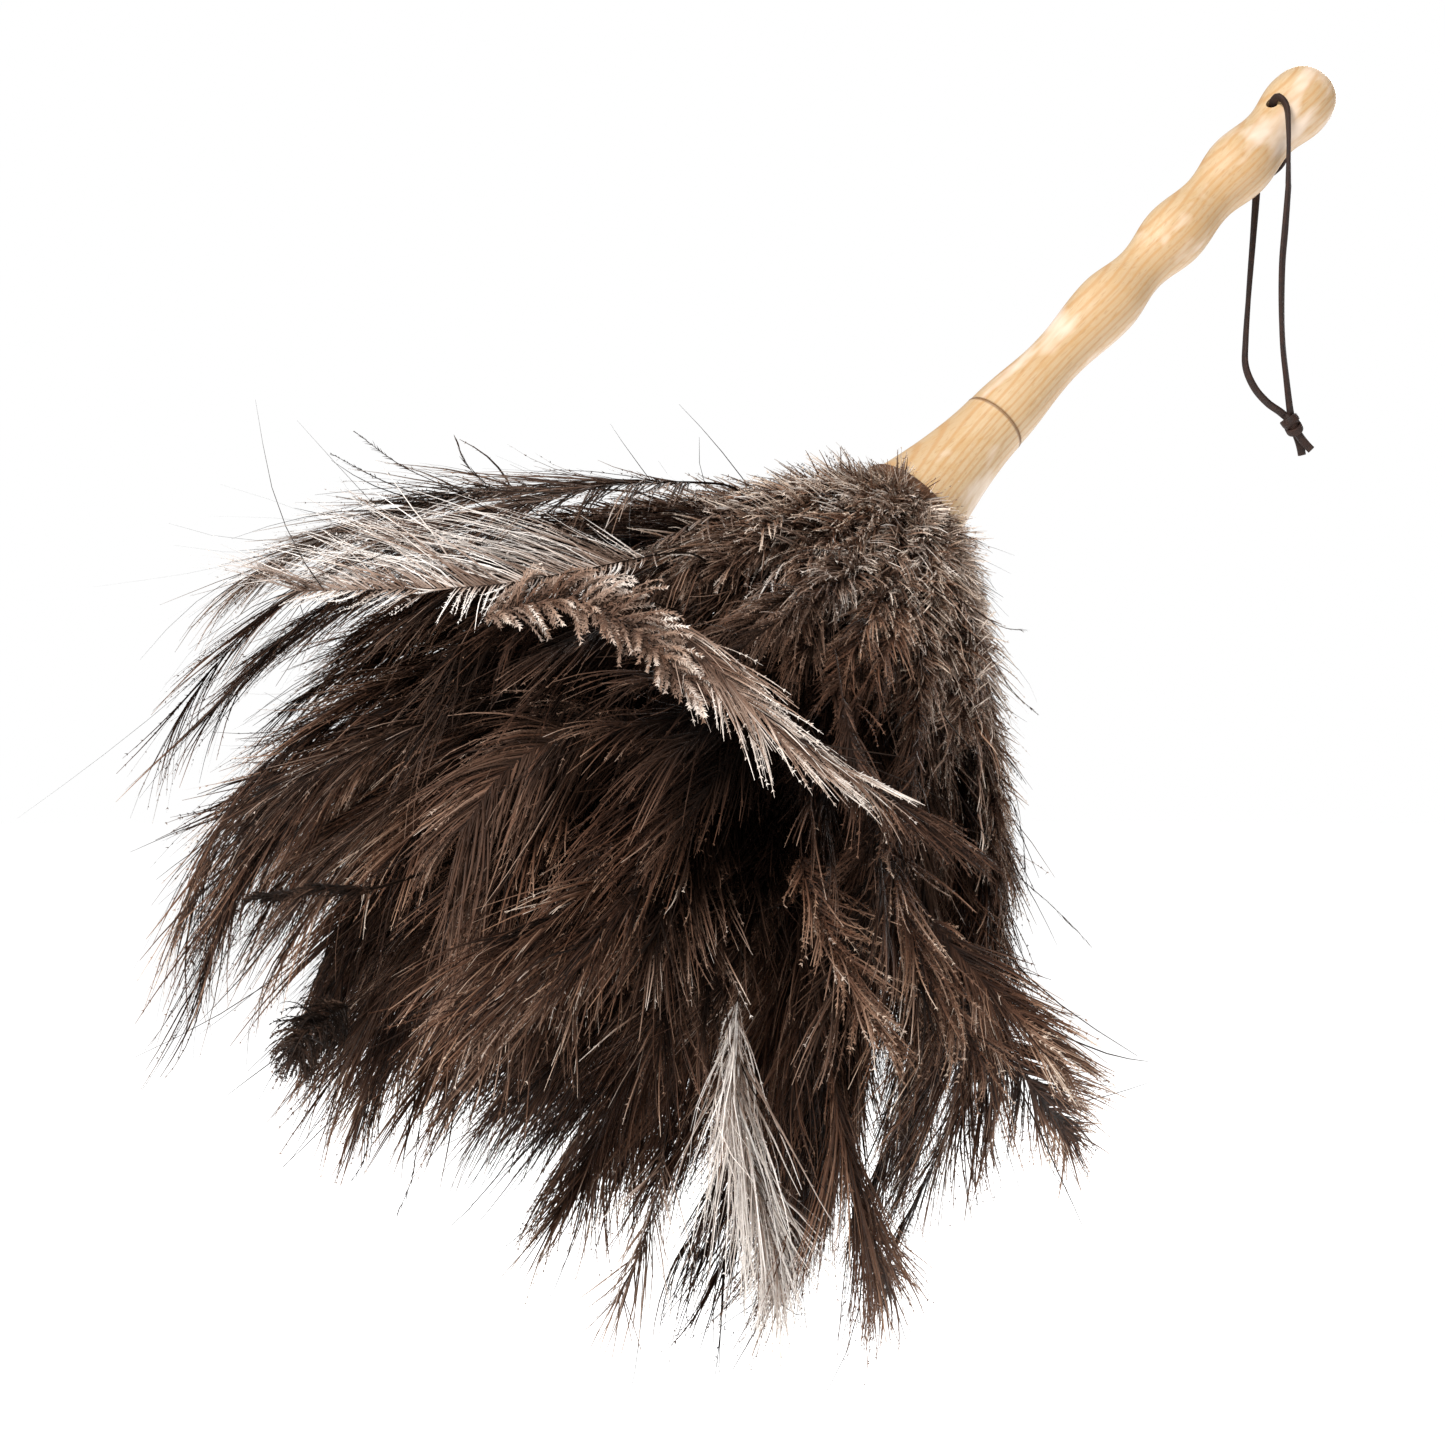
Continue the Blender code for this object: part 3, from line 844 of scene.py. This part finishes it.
def plume_spine(curve, angle, length, spread, dip, flare, swirl, tip_droop, steps=26):
    """The rachis of one plume along a row's curve. length trims it, spread moves it off the axis, dip draws
    its middle in, flare turns its end out, swirl turns it round the axis, and tip_droop lets its end hang."""
    share = np.linspace(0, 1, steps)
    line = bezier(share * length, curve)
    spread = spread * (1 - dip * np.sin(math.pi * share) + flare * share**2)
    distance, radius = line[:, 0], QUILL_RADIUS + (line[:, 1] - QUILL_RADIUS) * spread
    spine = sagged(at(distance, radius, angle + swirl * share**2))
    return spine - (tip_droop * share**4)[:, None] * UP


def along_spine(u, values):
    place = np.linspace(0, 1, len(values))
    return np.column_stack([np.interp(u, place, values[:, k]) for k in range(3)])


def grow(barbs, spine, look):
    """Adds one plume to barbs: a rachis along spine, and barbs on both its sides."""
    steps = len(spine)
    way = unit(np.gradient(spine, axis=0))
    off = spine - COLLAR_EDGE
    outward = unit(off - (off @ AXIS)[:, None] * AXIS)
    across = unit(np.cross(way, outward))
    face = unit(np.cross(across, way))
    c, s = math.cos(look["roll"]), math.sin(look["roll"])
    across, face = across * c + face * s, face * c - across * s
    for side, fullness in ((-1, look["sides"][0]), (1, look["sides"][1])):
        count = int(look["count"] * min(1.0, fullness * 1.5))
        if count < 3:
            continue
        u = look["start"] + (1 - look["start"]) * (np.arange(count) + random.random(count)) / count
        u = np.clip(u, 0, 1)
        root, t, x, n = (along_spine(u, v) for v in (spine, way, across, face))
        t, x, n = unit(t), unit(x), unit(n)
        vane = (u - look["start"]) / (1 - look["start"])
        swell = np.minimum(1, 0.25 + vane / 0.15) * (1 - look["taper"] * vane**1.5)
        lengths = look["length"] * fullness * swell * random.uniform(0.6, 1.12, count)
        angle = look["angle"] + (look["tip_angle"] - look["angle"]) * vane
        angle = angle + random.normal(0, look["ruffle"], count)
        lift = look["lift"] + random.normal(0, look["ruffle"], count)
        direction = unit(
            t * np.cos(angle)[:, None] + side * x * np.sin(angle)[:, None] + n * np.tan(lift)[:, None]
        )
        # Barbs gather in tufts whose ends lean towards the tuft's own direction
        tuft = np.cumsum(random.random(count) < 1.0 / look["tuft"])
        tufts = tuft.max() + 1
        number = np.maximum(np.bincount(tuft, minlength=tufts), 1)
        centre = np.column_stack(
            [np.bincount(tuft, direction[:, k], minlength=tufts) / number for k in range(3)]
        )
        centre = unit(centre + random.normal(0, look["ruffle"] * 1.2, centre.shape) + 1e-9)
        curl = random.normal(look["curl"], look["curl_spread"], tufts)[tuft]
        bend_way = unit(
            -UP * look["droop"] + n * look["flip"] + t * look["sweep"]
            + random.normal(0, 0.30, (tufts, 3))[tuft]
        )
        wisp = random.random(count) < look["wisps"]
        lengths = np.where(wisp, lengths * random.uniform(1.2, 1.9, count), lengths)
        lines = np.empty((count, BARB_STEPS + 1, 3))
        lines[:, 0] = root
        heading = direction.copy()
        stride = (lengths / BARB_STEPS)[:, None]
        pull = np.where(wisp, 0.0, look["gather"] * 0.5)[:, None]
        wander = random.normal(0, look["wave"], (count, 3)) * np.where(wisp, 3.5, 1.0)[:, None]
        for step in range(BARB_STEPS):
            share = (step + 1) / BARB_STEPS
            heading = unit(
                heading
                + (centre[tuft] - heading) * pull
                + bend_way * look["bend"] * share
                + n * (curl * share**2)[:, None]
                + wander * share
                + random.normal(0, look["wave"] * 0.5, (count, 3))
            )
            lines[:, step + 1] = lines[:, step] + heading * stride
        kept = keep_inside(lines)
        profile = np.linspace(0, 1, BARB_STEPS + 1)
        width = look["width"] * random.uniform(0.7, 1.25, count) * np.where(wisp, 0.75, 1.0)
        width = width[:, None] * (1 - 0.80 * profile**1.8)
        tuft_tone = random.normal(0, look["tone_spread"], tufts)[tuft]
        root_tone = look["tone"] + tuft_tone + random.normal(0, look["tone_spread"] * 0.6, count)
        rise = (look["tip_tone"] - look["tone"]) * random.uniform(0.5, 1.25, count)
        root_tone, rise = np.where(wisp, 0.08, root_tone), np.where(wisp, 0.05, rise)
        tone = root_tone[:, None] + rise[:, None] * profile ** look["tip_reach"]
        # Painted shade: barbs near the hollow under the canopy are darkened
        depth = np.linalg.norm(lines[:, :, None] - HOLLOW, axis=-1).min(axis=-1) / HOLLOW_SHADE_REACH
        tone = tone * (1 - look["shade"] * np.exp(-(depth**2)))
        warmth = look["warmth"] + random.normal(0, 0.12, count)
        turn = random.normal(0, 0.5, count)[:, None]
        facing = n * np.cos(turn) + np.cross(direction, n) * np.sin(turn)
        barbs.add(lines[kept], width[kept], facing[kept], tone[kept], warmth[kept])
        fluffy = kept & ~wisp & (random.random(count) < look["fluffy"])
        if look["fluff"] > 0 and fluffy.any():
            add_barbules(barbs, lines[fluffy], n[fluffy], tone[fluffy], warmth[fluffy], look)

    place = np.linspace(0, 1, steps)
    thick = look["quill"] * (1 - 0.85 * place)
    shaft_tone = np.full((2, steps), look["shaft_tone"]) + place * 0.05
    barbs.add(
        np.stack((spine, spine)),
        np.stack((thick, thick * 0.8)),
        np.stack((face, across)),
        shaft_tone,
        np.full(2, look["warmth"]),
    )


def add_barbules(barbs, lines, face, tone, warmth, look):
    """Fine barbules along both edges of fluffy barbs."""
    count, steps, _ = lines.shape
    number = look["barbules"]
    u = (np.arange(number) + random.random((count, number))) / number * 0.92 + 0.06
    low = np.minimum((u * (steps - 1)).astype(int), steps - 2)
    share = u * (steps - 1) - low
    rows = np.arange(count)[:, None]
    start, end = lines[rows, low], lines[rows, low + 1]
    root = start + (end - start) * share[..., None]
    way = unit(end - start + 1e-12)
    face = np.broadcast_to(face[:, None, :], way.shape)
    across = unit(np.cross(way, face))
    shade = tone[rows, low] * (1 - share) + tone[rows, low + 1] * share
    for side in (-1, 1):
        angle = random.normal(0.70, 0.2, (count, number))[..., None]
        lift = random.normal(0, 0.45, (count, number))[..., None]
        heading = unit(way * np.cos(angle) + side * across * np.sin(angle) + face * lift)
        reach = look["fluff"] * random.uniform(0.6, 1.15, (count, number)) * (1 - 0.4 * u)
        facing = unit(face + random.normal(0, 0.35, face.shape))
        barbs.add_points(
            root.reshape(-1, 3),
            (root + heading * reach[..., None]).reshape(-1, 3),
            look["fluff"] * 0.28,
            facing.reshape(-1, 3),
            # each barbule a little paler than its barb: painted soft halo of light
            (shade + random.normal(0.02, 0.03, shade.shape)).ravel(),
            np.repeat(warmth, number),
        )


def keep_inside(lines):
    """Shortens barbs that would leave the feathers' room, and tells which may stay."""
    root = lines[:, :1]
    inside = np.all((root[:, 0] > ROOM_LOW) & (root[:, 0] < ROOM_HIGH), axis=1)
    offset = lines - root
    with np.errstate(divide="ignore", invalid="ignore"):
        high = np.where(offset > 0, (ROOM_HIGH - root) / offset, np.inf)
        low = np.where(offset < 0, (ROOM_LOW - root) / offset, np.inf)
    shrink = np.clip(np.minimum(high, low).min(axis=(1, 2)), 0.0, 1.0)
    lines[:] = root + offset * shrink[:, None, None]
    return inside & (shrink > 0.25)


BASE_LOOK = {
    "count": 120,  # barbs on each side
    "sides": (1.0, 1.0),  # how long each side's barbs are
    "start": 0.20,  # where along the rachis the barbs begin
    "length": 0.062,  # of the longest barb
    "taper": 0.30,  # how much shorter the barbs are at the tip
    "angle": 0.60,  # between rachis and barb, low on the plume
    "tip_angle": 0.20,
    "lift": 0.0,  # of the barbs out of the plume's plane
    "roll": 0.0,  # of the plume's plane about its rachis
    "ruffle": 0.10,
    "tuft": 8,  # barbs that gather
    "gather": 0.50,
    "droop": 0.6,  # what the barbs bend towards: down
    "flip": -0.2,  # outwards
    "sweep": 0.7,  # along the rachis
    "bend": 0.30,
    "curl": 0.0,
    "curl_spread": 0.12,
    "wave": 0.05,
    "wisps": 0.02,
    "width": 0.0007,
    "tone": 0.20,
    "tip_tone": 0.50,
    "tip_reach": 1.0,
    "tone_spread": 0.10,
    "warmth": 0.55,
    "shaft_tone": 0.12,
    "quill": 0.0014,
    "fluffy": 0.45,  # the share of barbs with barbules of their own
    "fluff": 0.0018,  # the barbules' length
    "barbules": 10,
    "shade": 0.96,  # how much painted shade darkens the barbs in the head's hollow
}

# The plumes, layer on layer. Each layer belongs to a row of the CAD's plumes.
LAYERS = (
    {
        "name": "collar_plume",
        "nodes": 10,
        "phase": 0.0,
        "groups": (
            {
                "plumes": 22,
                "bundle": 1,
                "curve": ((-0.0085, 0.0108), (-0.0030, 0.0300), (-0.0270, 0.0740), (-0.1080, 0.1280)),
                "length": (0.30, 1.0),
                "spread": (0.85, 1.05),
                "look": {
                    "count": 48, "start": 0.0, "length": 0.021, "angle": 0.95, "tip_angle": 0.25,
                    "lift": 0.34, "taper": 0.0, "ruffle": 0.22, "tuft": 6, "gather": 0.85, "tone": 0.46,
                    "tip_tone": 1.02, "warmth": 0.62, "width": 0.0008, "fluffy": 0.5, "barbules": 8,
                    "droop": 0.5, "sweep": 0.9, "wisps": 0.01, "tone_spread": 0.12,
                },
            },
        ),
    },
    {
        "name": "outer_plume",
        "nodes": 14,
        "phase": 0.3,
        "groups": (
            {  # the canopy, which arches over the rest
                "plumes": 9,
                "bundle": 3,
                "curve": ((-0.0300, 0.0108), (-0.0280, 0.0560), (-0.0640, 0.1360), (-0.1650, 0.1600)),
                "length": (0.60, 1.0),
                "spread": (0.78, 1.0),
                "look": {
                    "length": 0.030, "tone": 0.28, "tip_tone": 0.84, "warmth": 0.58, "angle": 0.5,
                    "bend": 0.40, "flip": -0.4, "sweep": 0.9, "tuft": 6, "gather": 0.75, "ruffle": 0.20,
                    "fluffy": 0.7, "lift": 0.10,
                },
            },
            {  # the skirt, which reaches furthest out
                "plumes": 6,
                "bundle": 2,
                "curve": ((-0.0420, 0.0108), (-0.0440, 0.0600), (-0.1150, 0.2150), (-0.2600, 0.1480)),
                "length": (0.70, 0.95),
                "spread": (0.80, 1.0),
                "dip": 0.42,
                "flare": 0.10,
                "look": {
                    "tone": 0.12, "tip_tone": 0.66, "warmth": 0.7, "tip_reach": 1.3,
                },
            },
        ),
    },
    {
        "name": "middle_plume",
        "nodes": 12,
        "phase": 0.0,
        "groups": (
            {
                "plumes": 12,
                "bundle": 3,
                "curve": ((-0.0640, 0.0108), (-0.0850, 0.0400), (-0.1800, 0.1720), (-0.2800, 0.1050)),
                "length": (0.75, 1.0),
                "spread": (0.78, 1.08),
                "dip": 0.30,
                "flare": 0.35,
                "look": {
                    "tone": 0.10, "tip_tone": 0.64, "warmth": 0.72, "fluffy": 0.35, "tip_reach": 1.3,
                    "ruffle": 0.13, "tone_spread": 0.13,
                },
            },
        ),
    },
    {
        "name": "inner_plume",
        "nodes": 8,
        "phase": 0.2,
        "groups": (
            {
                "plumes": 8,
                "bundle": 4,
                "curve": ((-0.0840, 0.0108), (-0.1200, 0.0160), (-0.2000, 0.0780), (-0.2850, 0.0340)),
                "length": (0.80, 1.0),
                "spread": (0.6, 1.4),
                "flare": 0.60,
                "look": {
                    "length": 0.055, "tone": 0.10, "warmth": 0.7, "count": 90, "fluffy": 0.0,
                },
            },
        ),
    },
)


def add_plumes(material):
    for row in LAYERS:
        sector = 2 * math.pi / row["nodes"]
        tufts = [Barbs() for _ in range(row["nodes"])]
        for index, barbs in enumerate(tufts):
            for group in row["groups"]:
                bundles = group["plumes"] // group["bundle"]
                for number in range(bundles):
                    place = (number + random.random()) / bundles - 0.5
                    grow_bundle(barbs, group, row["phase"] + sector * (index + place))
        for plume in SPECIAL_PLUMES:
            if plume["row"] == row["name"]:
                angle = plume["spine"][-1][2] - row["phase"]
                grow_special_plume(tufts[round(angle / sector) % row["nodes"]], plume)
        if row["name"] == "outer_plume":
            for spine in LOOSE_TIPS:
                angle = spine[0][2] - row["phase"]
                look = {"spine": spine, "look": LOOSE_LOOK}
                grow_special_plume(tufts[round(angle / sector) % row["nodes"]], look)
        for index, barbs in enumerate(tufts):
            piece = barbs.build(f"{row['name']}_tuft_{index + 1:02d}", material)
            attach(piece, "duster")
            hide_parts(f"{row['name']}_{index + 1:02d}")


def grow_bundle(barbs, group, angle):
    """Plumes that lie together: they share most of their course and colour."""
    under = (1 + math.cos(angle)) / 2
    near = math.exp(-(math.remainder(angle - NEAR_SIDE, 2 * math.pi) ** 2) / (2 * NEAR_WIDTH**2))
    spread = random.uniform(*group["spread"]) * (1 - 0.06 * under)
    dip, flare = near * group.get("dip", 0.0), near * group.get("flare", 0.0)
    length = random.uniform(*group["length"]) * (1 - UNDERSIDE_TRIM * under)
    swirl, roll = random.normal(0, 0.22), random.normal(0, 0.45)
    shade, lit, warmth = random.normal(0, 0.06), random.normal(0, 0.08), random.normal(0, 0.15)
    for _ in range(group["bundle"]):
        spine = plume_spine(
            group["curve"],
            angle + random.normal(0, 0.05),
            length * random.uniform(0.88, 1.04),
            spread * random.uniform(0.94, 1.04),
            dip,
            flare,
            swirl + random.normal(0, 0.06),
            random.uniform(0, 0.015),
        )
        look = {**BASE_LOOK, **group["look"]}
        look["tone"] += shade
        look["tip_tone"] += shade + lit + random.normal(0, 0.04)
        look["warmth"] += warmth
        look["roll"] += roll + random.normal(0, 0.2)
        look["length"] *= random.uniform(0.8, 1.15)
        look["curl"] += random.normal(0, 0.06)
        grow(barbs, spine, look)


def grow_special_plume(barbs, plume):
    """A plume along its own places, on a bare quill that comes from the binding wire."""
    first_distance, first_radius, angle = plume["spine"][0]
    quill = [(first_distance * share, QUILL_RADIUS + (first_radius - QUILL_RADIUS) * share**2, angle)
             for share in (0.45, 0.7, 0.88)]
    places = sagged(at(*np.array(quill + list(plume["spine"]), float).T))
    spine = smooth_route(places, length_of(places) / 40)
    lead = length_of(places[: len(quill) + 1]) / length_of(places)
    look = {**BASE_LOOK, "shade": 0.0, **plume["look"]}
    look["start"] = lead + (1 - lead) * look["start"]
    grow(barbs, spine, look)


HOLLOW_PLACES = ((-0.161, 0.110, -2.45), (-0.147, 0.110, -2.14), (-0.128, 0.110, -1.80))
HOLLOW_SHADE_REACH = 0.042

# Plumes that stand out, each along a few (distance, radius, angle) places
SPECIAL_PLUMES = (
    {  # silvery plume that lies on the canopy's upper edge
        "row": "outer_plume",
        "spine": (
            (-0.090, 0.112, -2.55), (-0.129, 0.140, -2.61),
            (-0.152, 0.152, -2.70), (-0.184, 0.169, -3.01),
        ),
        "look": {
            "length": 0.074, "sides": (0.25, 1.0), "tone": 0.60, "tip_tone": 1.30, "warmth": 0.10,
            "count": 260, "angle": 1.05, "tip_angle": 0.60, "wisps": 0.04, "taper": 0.35, "start": 0.10,
            "droop": 0.0, "bend": 0.50, "sweep": 1.0, "tuft": 9, "gather": 0.6, "ruffle": 0.14,
            "fluffy": 0.5, "width": 0.0005, "tone_spread": 0.12, "wave": 0.09, "fluff": 0.0014,
        },
    },
    {  # its neighbour behind
        "row": "outer_plume",
        "spine": ((-0.060, 0.100, 3.00), (-0.100, 0.140, 3.00), (-0.140, 0.162, 3.02), (-0.172, 0.172, 3.06)),
        "look": {
            "tone": 0.42, "tip_tone": 0.95, "warmth": 0.10, "count": 200, "angle": 0.9, "tip_angle": 0.4,
            "droop": 0.0, "wisps": 0.08, "ruffle": 0.12,
        },
    },
    {  # brown plume on the canopy's top
        "row": "outer_plume",
        "spine": (
            (-0.045, 0.085, -2.95), (-0.080, 0.122, -2.90),
            (-0.115, 0.145, -2.90), (-0.145, 0.160, -2.98),
        ),
        "look": {
            "length": 0.055, "tone": 0.22, "tip_tone": 0.66, "warmth": 0.25, "count": 180, "angle": 0.8,
            "tip_angle": 0.35, "droop": 0.1, "wisps": 0.05, "start": 0.10,
        },
    },
    {  # curled pale barbs on the canopy's front edge
        "row": "outer_plume",
        "spine": (
            (-0.160, 0.150, -2.62), (-0.137, 0.146, -2.50),
            (-0.134, 0.146, -2.32), (-0.137, 0.142, -2.12),
        ),
        "look": {
            "length": 0.022, "sides": (1.0, 0.8), "tone": 0.42, "tip_tone": 0.86, "warmth": 0.45,
            "count": 90, "angle": 1.1, "tip_angle": 0.8, "lift": 0.5, "curl": -0.35, "fluffy": 1.0,
            "fluff": 0.0024, "barbules": 16, "tuft": 4, "gather": 0.6, "start": 0.02, "ruffle": 0.3,
        },
    },
    {  # long pale barbs along the canopy's front edge
        "row": "outer_plume",
        "spine": (
            (-0.118, 0.130, -2.40), (-0.127, 0.144, -2.15),
            (-0.130, 0.149, -1.95), (-0.125, 0.151, -1.77),
        ),
        "look": {
            "length": 0.038, "tone": 0.48, "tip_tone": 1.12, "warmth": 0.40, "count": 130, "angle": 0.45,
            "tip_angle": 0.15, "fluffy": 0.5, "start": 0.05, "tuft": 6, "gather": 0.6,
        },
    },
    {  # dark plume that ends the canopy at its underside
        "row": "outer_plume",
        "spine": (
            (-0.090, 0.120, -1.95), (-0.120, 0.145, -1.75),
            (-0.118, 0.150, -1.62), (-0.113, 0.152, -1.50),
        ),
        "look": {
            "length": 0.030, "tone": 0.10, "tip_tone": 0.42, "warmth": 0.70, "angle": 0.4, "droop": 1.0,
        },
    },
    {  # fan of long barbs that spreads out of the hollow
        "row": "middle_plume",
        "spine": (
            (-0.130, 0.095, -2.15), (-0.165, 0.116, -2.35),
            (-0.192, 0.126, -2.38), (-0.216, 0.132, -2.33),
        ),
        "look": {
            "length": 0.074, "sides": (1.1, 0.6), "tone": 0.22, "tip_tone": 0.56, "warmth": 0.6,
            "count": 190, "angle": 0.9, "tip_angle": 0.3, "droop": 1.0, "bend": 0.45,
        },
    },
    {  # beige-tipped plumes at the underside
        "row": "middle_plume",
        "spine": (
            (-0.125, 0.105, -1.75), (-0.150, 0.128, -1.66),
            (-0.163, 0.142, -1.53), (-0.172, 0.152, -1.36),
        ),
        "look": {
            "length": 0.030, "tone": 0.30, "tip_tone": 0.82, "warmth": 0.85, "count": 90, "lift": 0.35,
            "tuft": 4, "gather": 0.8, "ruffle": 0.25, "curl_spread": 0.5, "fluffy": 0.7, "droop": 1.0,
            "fluff": 0.0022, "shade": 0.9, "start": 0.35,
        },
    },
    {
        "row": "middle_plume",
        "spine": (
            (-0.100, 0.105, -1.55), (-0.130, 0.135, -1.50),
            (-0.145, 0.150, -1.36), (-0.150, 0.160, -1.15),
        ),
        "look": {
            "length": 0.034, "tone": 0.26, "tip_tone": 0.76, "warmth": 0.85, "count": 100, "lift": 0.3,
            "tuft": 5, "gather": 0.8, "ruffle": 0.2, "curl_spread": 0.4, "fluffy": 1.0, "droop": 1.0,
            "fluff": 0.0020,
        },
    },
    {  # whitish plume that hangs lowest
        "row": "middle_plume",
        "spine": (
            (-0.190, 0.130, -1.60), (-0.221, 0.148, -1.47),
            (-0.236, 0.152, -1.27), (-0.242, 0.153, -1.14),
        ),
        "look": {
            "length": 0.060, "tone": 0.72, "tip_tone": 1.40, "warmth": 0.12, "count": 190, "angle": 0.50,
            "tip_angle": 0.22, "start": 0.10, "droop": 1.2, "tuft": 10, "ruffle": 0.16, "roll": 0.4,
            "tone_spread": 0.12, "wave": 0.10,
        },
    },
    {  # rust-brown plume beside it
        "row": "middle_plume",
        "spine": (
            (-0.180, 0.130, -1.30), (-0.206, 0.152, -1.11),
            (-0.214, 0.158, -0.92), (-0.212, 0.158, -0.80),
        ),
        "look": {
            "length": 0.060, "tone": 0.25, "tip_tone": 0.66, "warmth": 0.9, "count": 190, "angle": 0.55,
            "tip_angle": 0.25, "start": 0.10, "droop": 1.2, "ruffle": 0.15, "roll": 0.3,
        },
    },
    {  # thin pale plume under the head's middle
        "row": "middle_plume",
        "spine": (
            (-0.235, 0.130, -1.50), (-0.252, 0.140, -1.46),
            (-0.272, 0.150, -1.42), (-0.290, 0.155, -1.40),
        ),
        "look": {
            "length": 0.040, "tone": 0.30, "tip_tone": 1.05, "warmth": 0.20, "count": 46, "angle": 0.45,
            "tip_angle": 0.25, "fluffy": 0.0, "width": 0.0005, "tuft": 4, "gather": 0.8, "ruffle": 0.2,
        },
    },
    {  # two brown plumes with beige tips that lean out of the underside
        "row": "middle_plume",
        "spine": (
            (-0.139, 0.140, -1.28), (-0.141, 0.155, -1.12),
            (-0.139, 0.165, -0.96), (-0.129, 0.172, -0.68),
        ),
        "look": {
            "length": 0.046, "tip_tone": 0.88, "warmth": 0.80, "count": 150, "angle": 0.50,
            "tip_angle": 0.25, "tip_reach": 1.5, "droop": 0.4, "tuft": 5, "gather": 0.7, "ruffle": 0.15,
        },
    },
    {
        "row": "middle_plume",
        "spine": (
            (-0.128, 0.135, -1.46), (-0.133, 0.150, -1.27),
            (-0.131, 0.163, -1.14), (-0.130, 0.172, -1.05),
        ),
        "look": {
            "length": 0.038, "tone": 0.18, "tip_tone": 0.80, "warmth": 0.80, "count": 130, "angle": 0.50,
            "tip_angle": 0.25, "tip_reach": 1.5, "droop": 0.4, "tuft": 5, "gather": 0.7, "ruffle": 0.15,
        },
    },
    {  # small black curl at the far end
        "row": "middle_plume",
        "spine": (
            (-0.262, 0.118, -2.22), (-0.292, 0.145, -2.22),
            (-0.304, 0.153, -2.21), (-0.306, 0.150, -2.19),
        ),
        "look": {
            "length": 0.015, "tone": 0.02, "tip_tone": 0.12, "warmth": 0.30, "count": 70, "angle": 1.0,
            "tip_angle": 1.0, "curl": -0.4, "fluffy": 0.8, "start": 0.45, "gather": 0.1, "ruffle": 0.4,
        },
    },
    {  # bare dark end of a quill
        "row": "middle_plume",
        "spine": (
            (-0.250, 0.142, -2.35), (-0.261, 0.152, -2.40),
            (-0.270, 0.157, -2.43), (-0.277, 0.160, -2.46),
        ),
        "look": {
            "length": 0.009, "tone": 0.02, "tip_tone": 0.10, "warmth": 0.30, "angle": 0.30,
            "tip_angle": 0.10, "quill": 0.0036, "shaft_tone": 0.05, "start": 0.0, "wisps": 0.0,
        },
    },
)

# Dark ends of stray barbs that reach out of the head
LOOSE_TIPS = (
    ((-0.125, 0.170, -2.70), (-0.127, 0.180, -2.75), (-0.124, 0.190, -2.77)),
    ((-0.130, 0.170, -2.84), (-0.132, 0.180, -2.95), (-0.126, 0.190, -3.12)),
    ((-0.133, 0.165, -2.91), (-0.135, 0.175, -3.04), (-0.125, 0.186, 2.96)),
    ((-0.053, 0.130, -1.73), (-0.064, 0.150, -1.64), (-0.069, 0.165, -1.60)),
    ((-0.040, 0.110, -1.78), (-0.044, 0.130, -1.71), (-0.044, 0.145, -1.69)),
    ((-0.083, 0.140, -1.52), (-0.092, 0.155, -1.44), (-0.107, 0.165, -1.37)),
    ((-0.097, 0.140, -1.29), (-0.101, 0.160, -1.26), (-0.104, 0.175, -1.22)),
    ((-0.283, 0.125, -2.06), (-0.305, 0.150, -2.00), (-0.315, 0.155, -1.96), (-0.323, 0.160, -1.95)),
    ((-0.279, 0.125, -1.97), (-0.298, 0.150, -1.92), (-0.310, 0.155, -1.87), (-0.321, 0.160, -1.85)),
)
LOOSE_LOOK = {
    "count": 14, "start": 0.2, "length": 0.005, "angle": 0.25, "tip_angle": 0.10, "bend": 0.1,
    "tone": 0.05, "tip_tone": 0.22, "shaft_tone": 0.04, "quill": 0.0010, "width": 0.0003,
    "fluffy": 0.0, "wisps": 0.0, "shade": 0.0,
}

NEAR_SIDE = -1.9  # the angle of the head's hollow side, where plumes dip towards the axis and flare out again
NEAR_WIDTH = 0.45
# Along the hollow under the canopy's front edge, round which the barbs get painted shade
HOLLOW = sagged(at(*np.array(HOLLOW_PLACES).T))


def add_wires(material):
    for name, node in frame["nodes"].items():
        if name.startswith("binding_wire"):
            node.data.materials.clear()
            node.data.materials.append(material)


add_camera()
lace_leather = leather_material("lace_leather_brown", (0.010, 0.0045, 0.0035), (0.038, 0.016, 0.010), 0.0005)
add_lace(lace_leather)
add_handle(wood_material())
add_collar(leather_material("collar_leather_brown", (0.05, 0.022, 0.012), (0.17, 0.078, 0.036), 0.0007))
add_wires(wire_material())
add_plumes(feather_material())
add_studio()
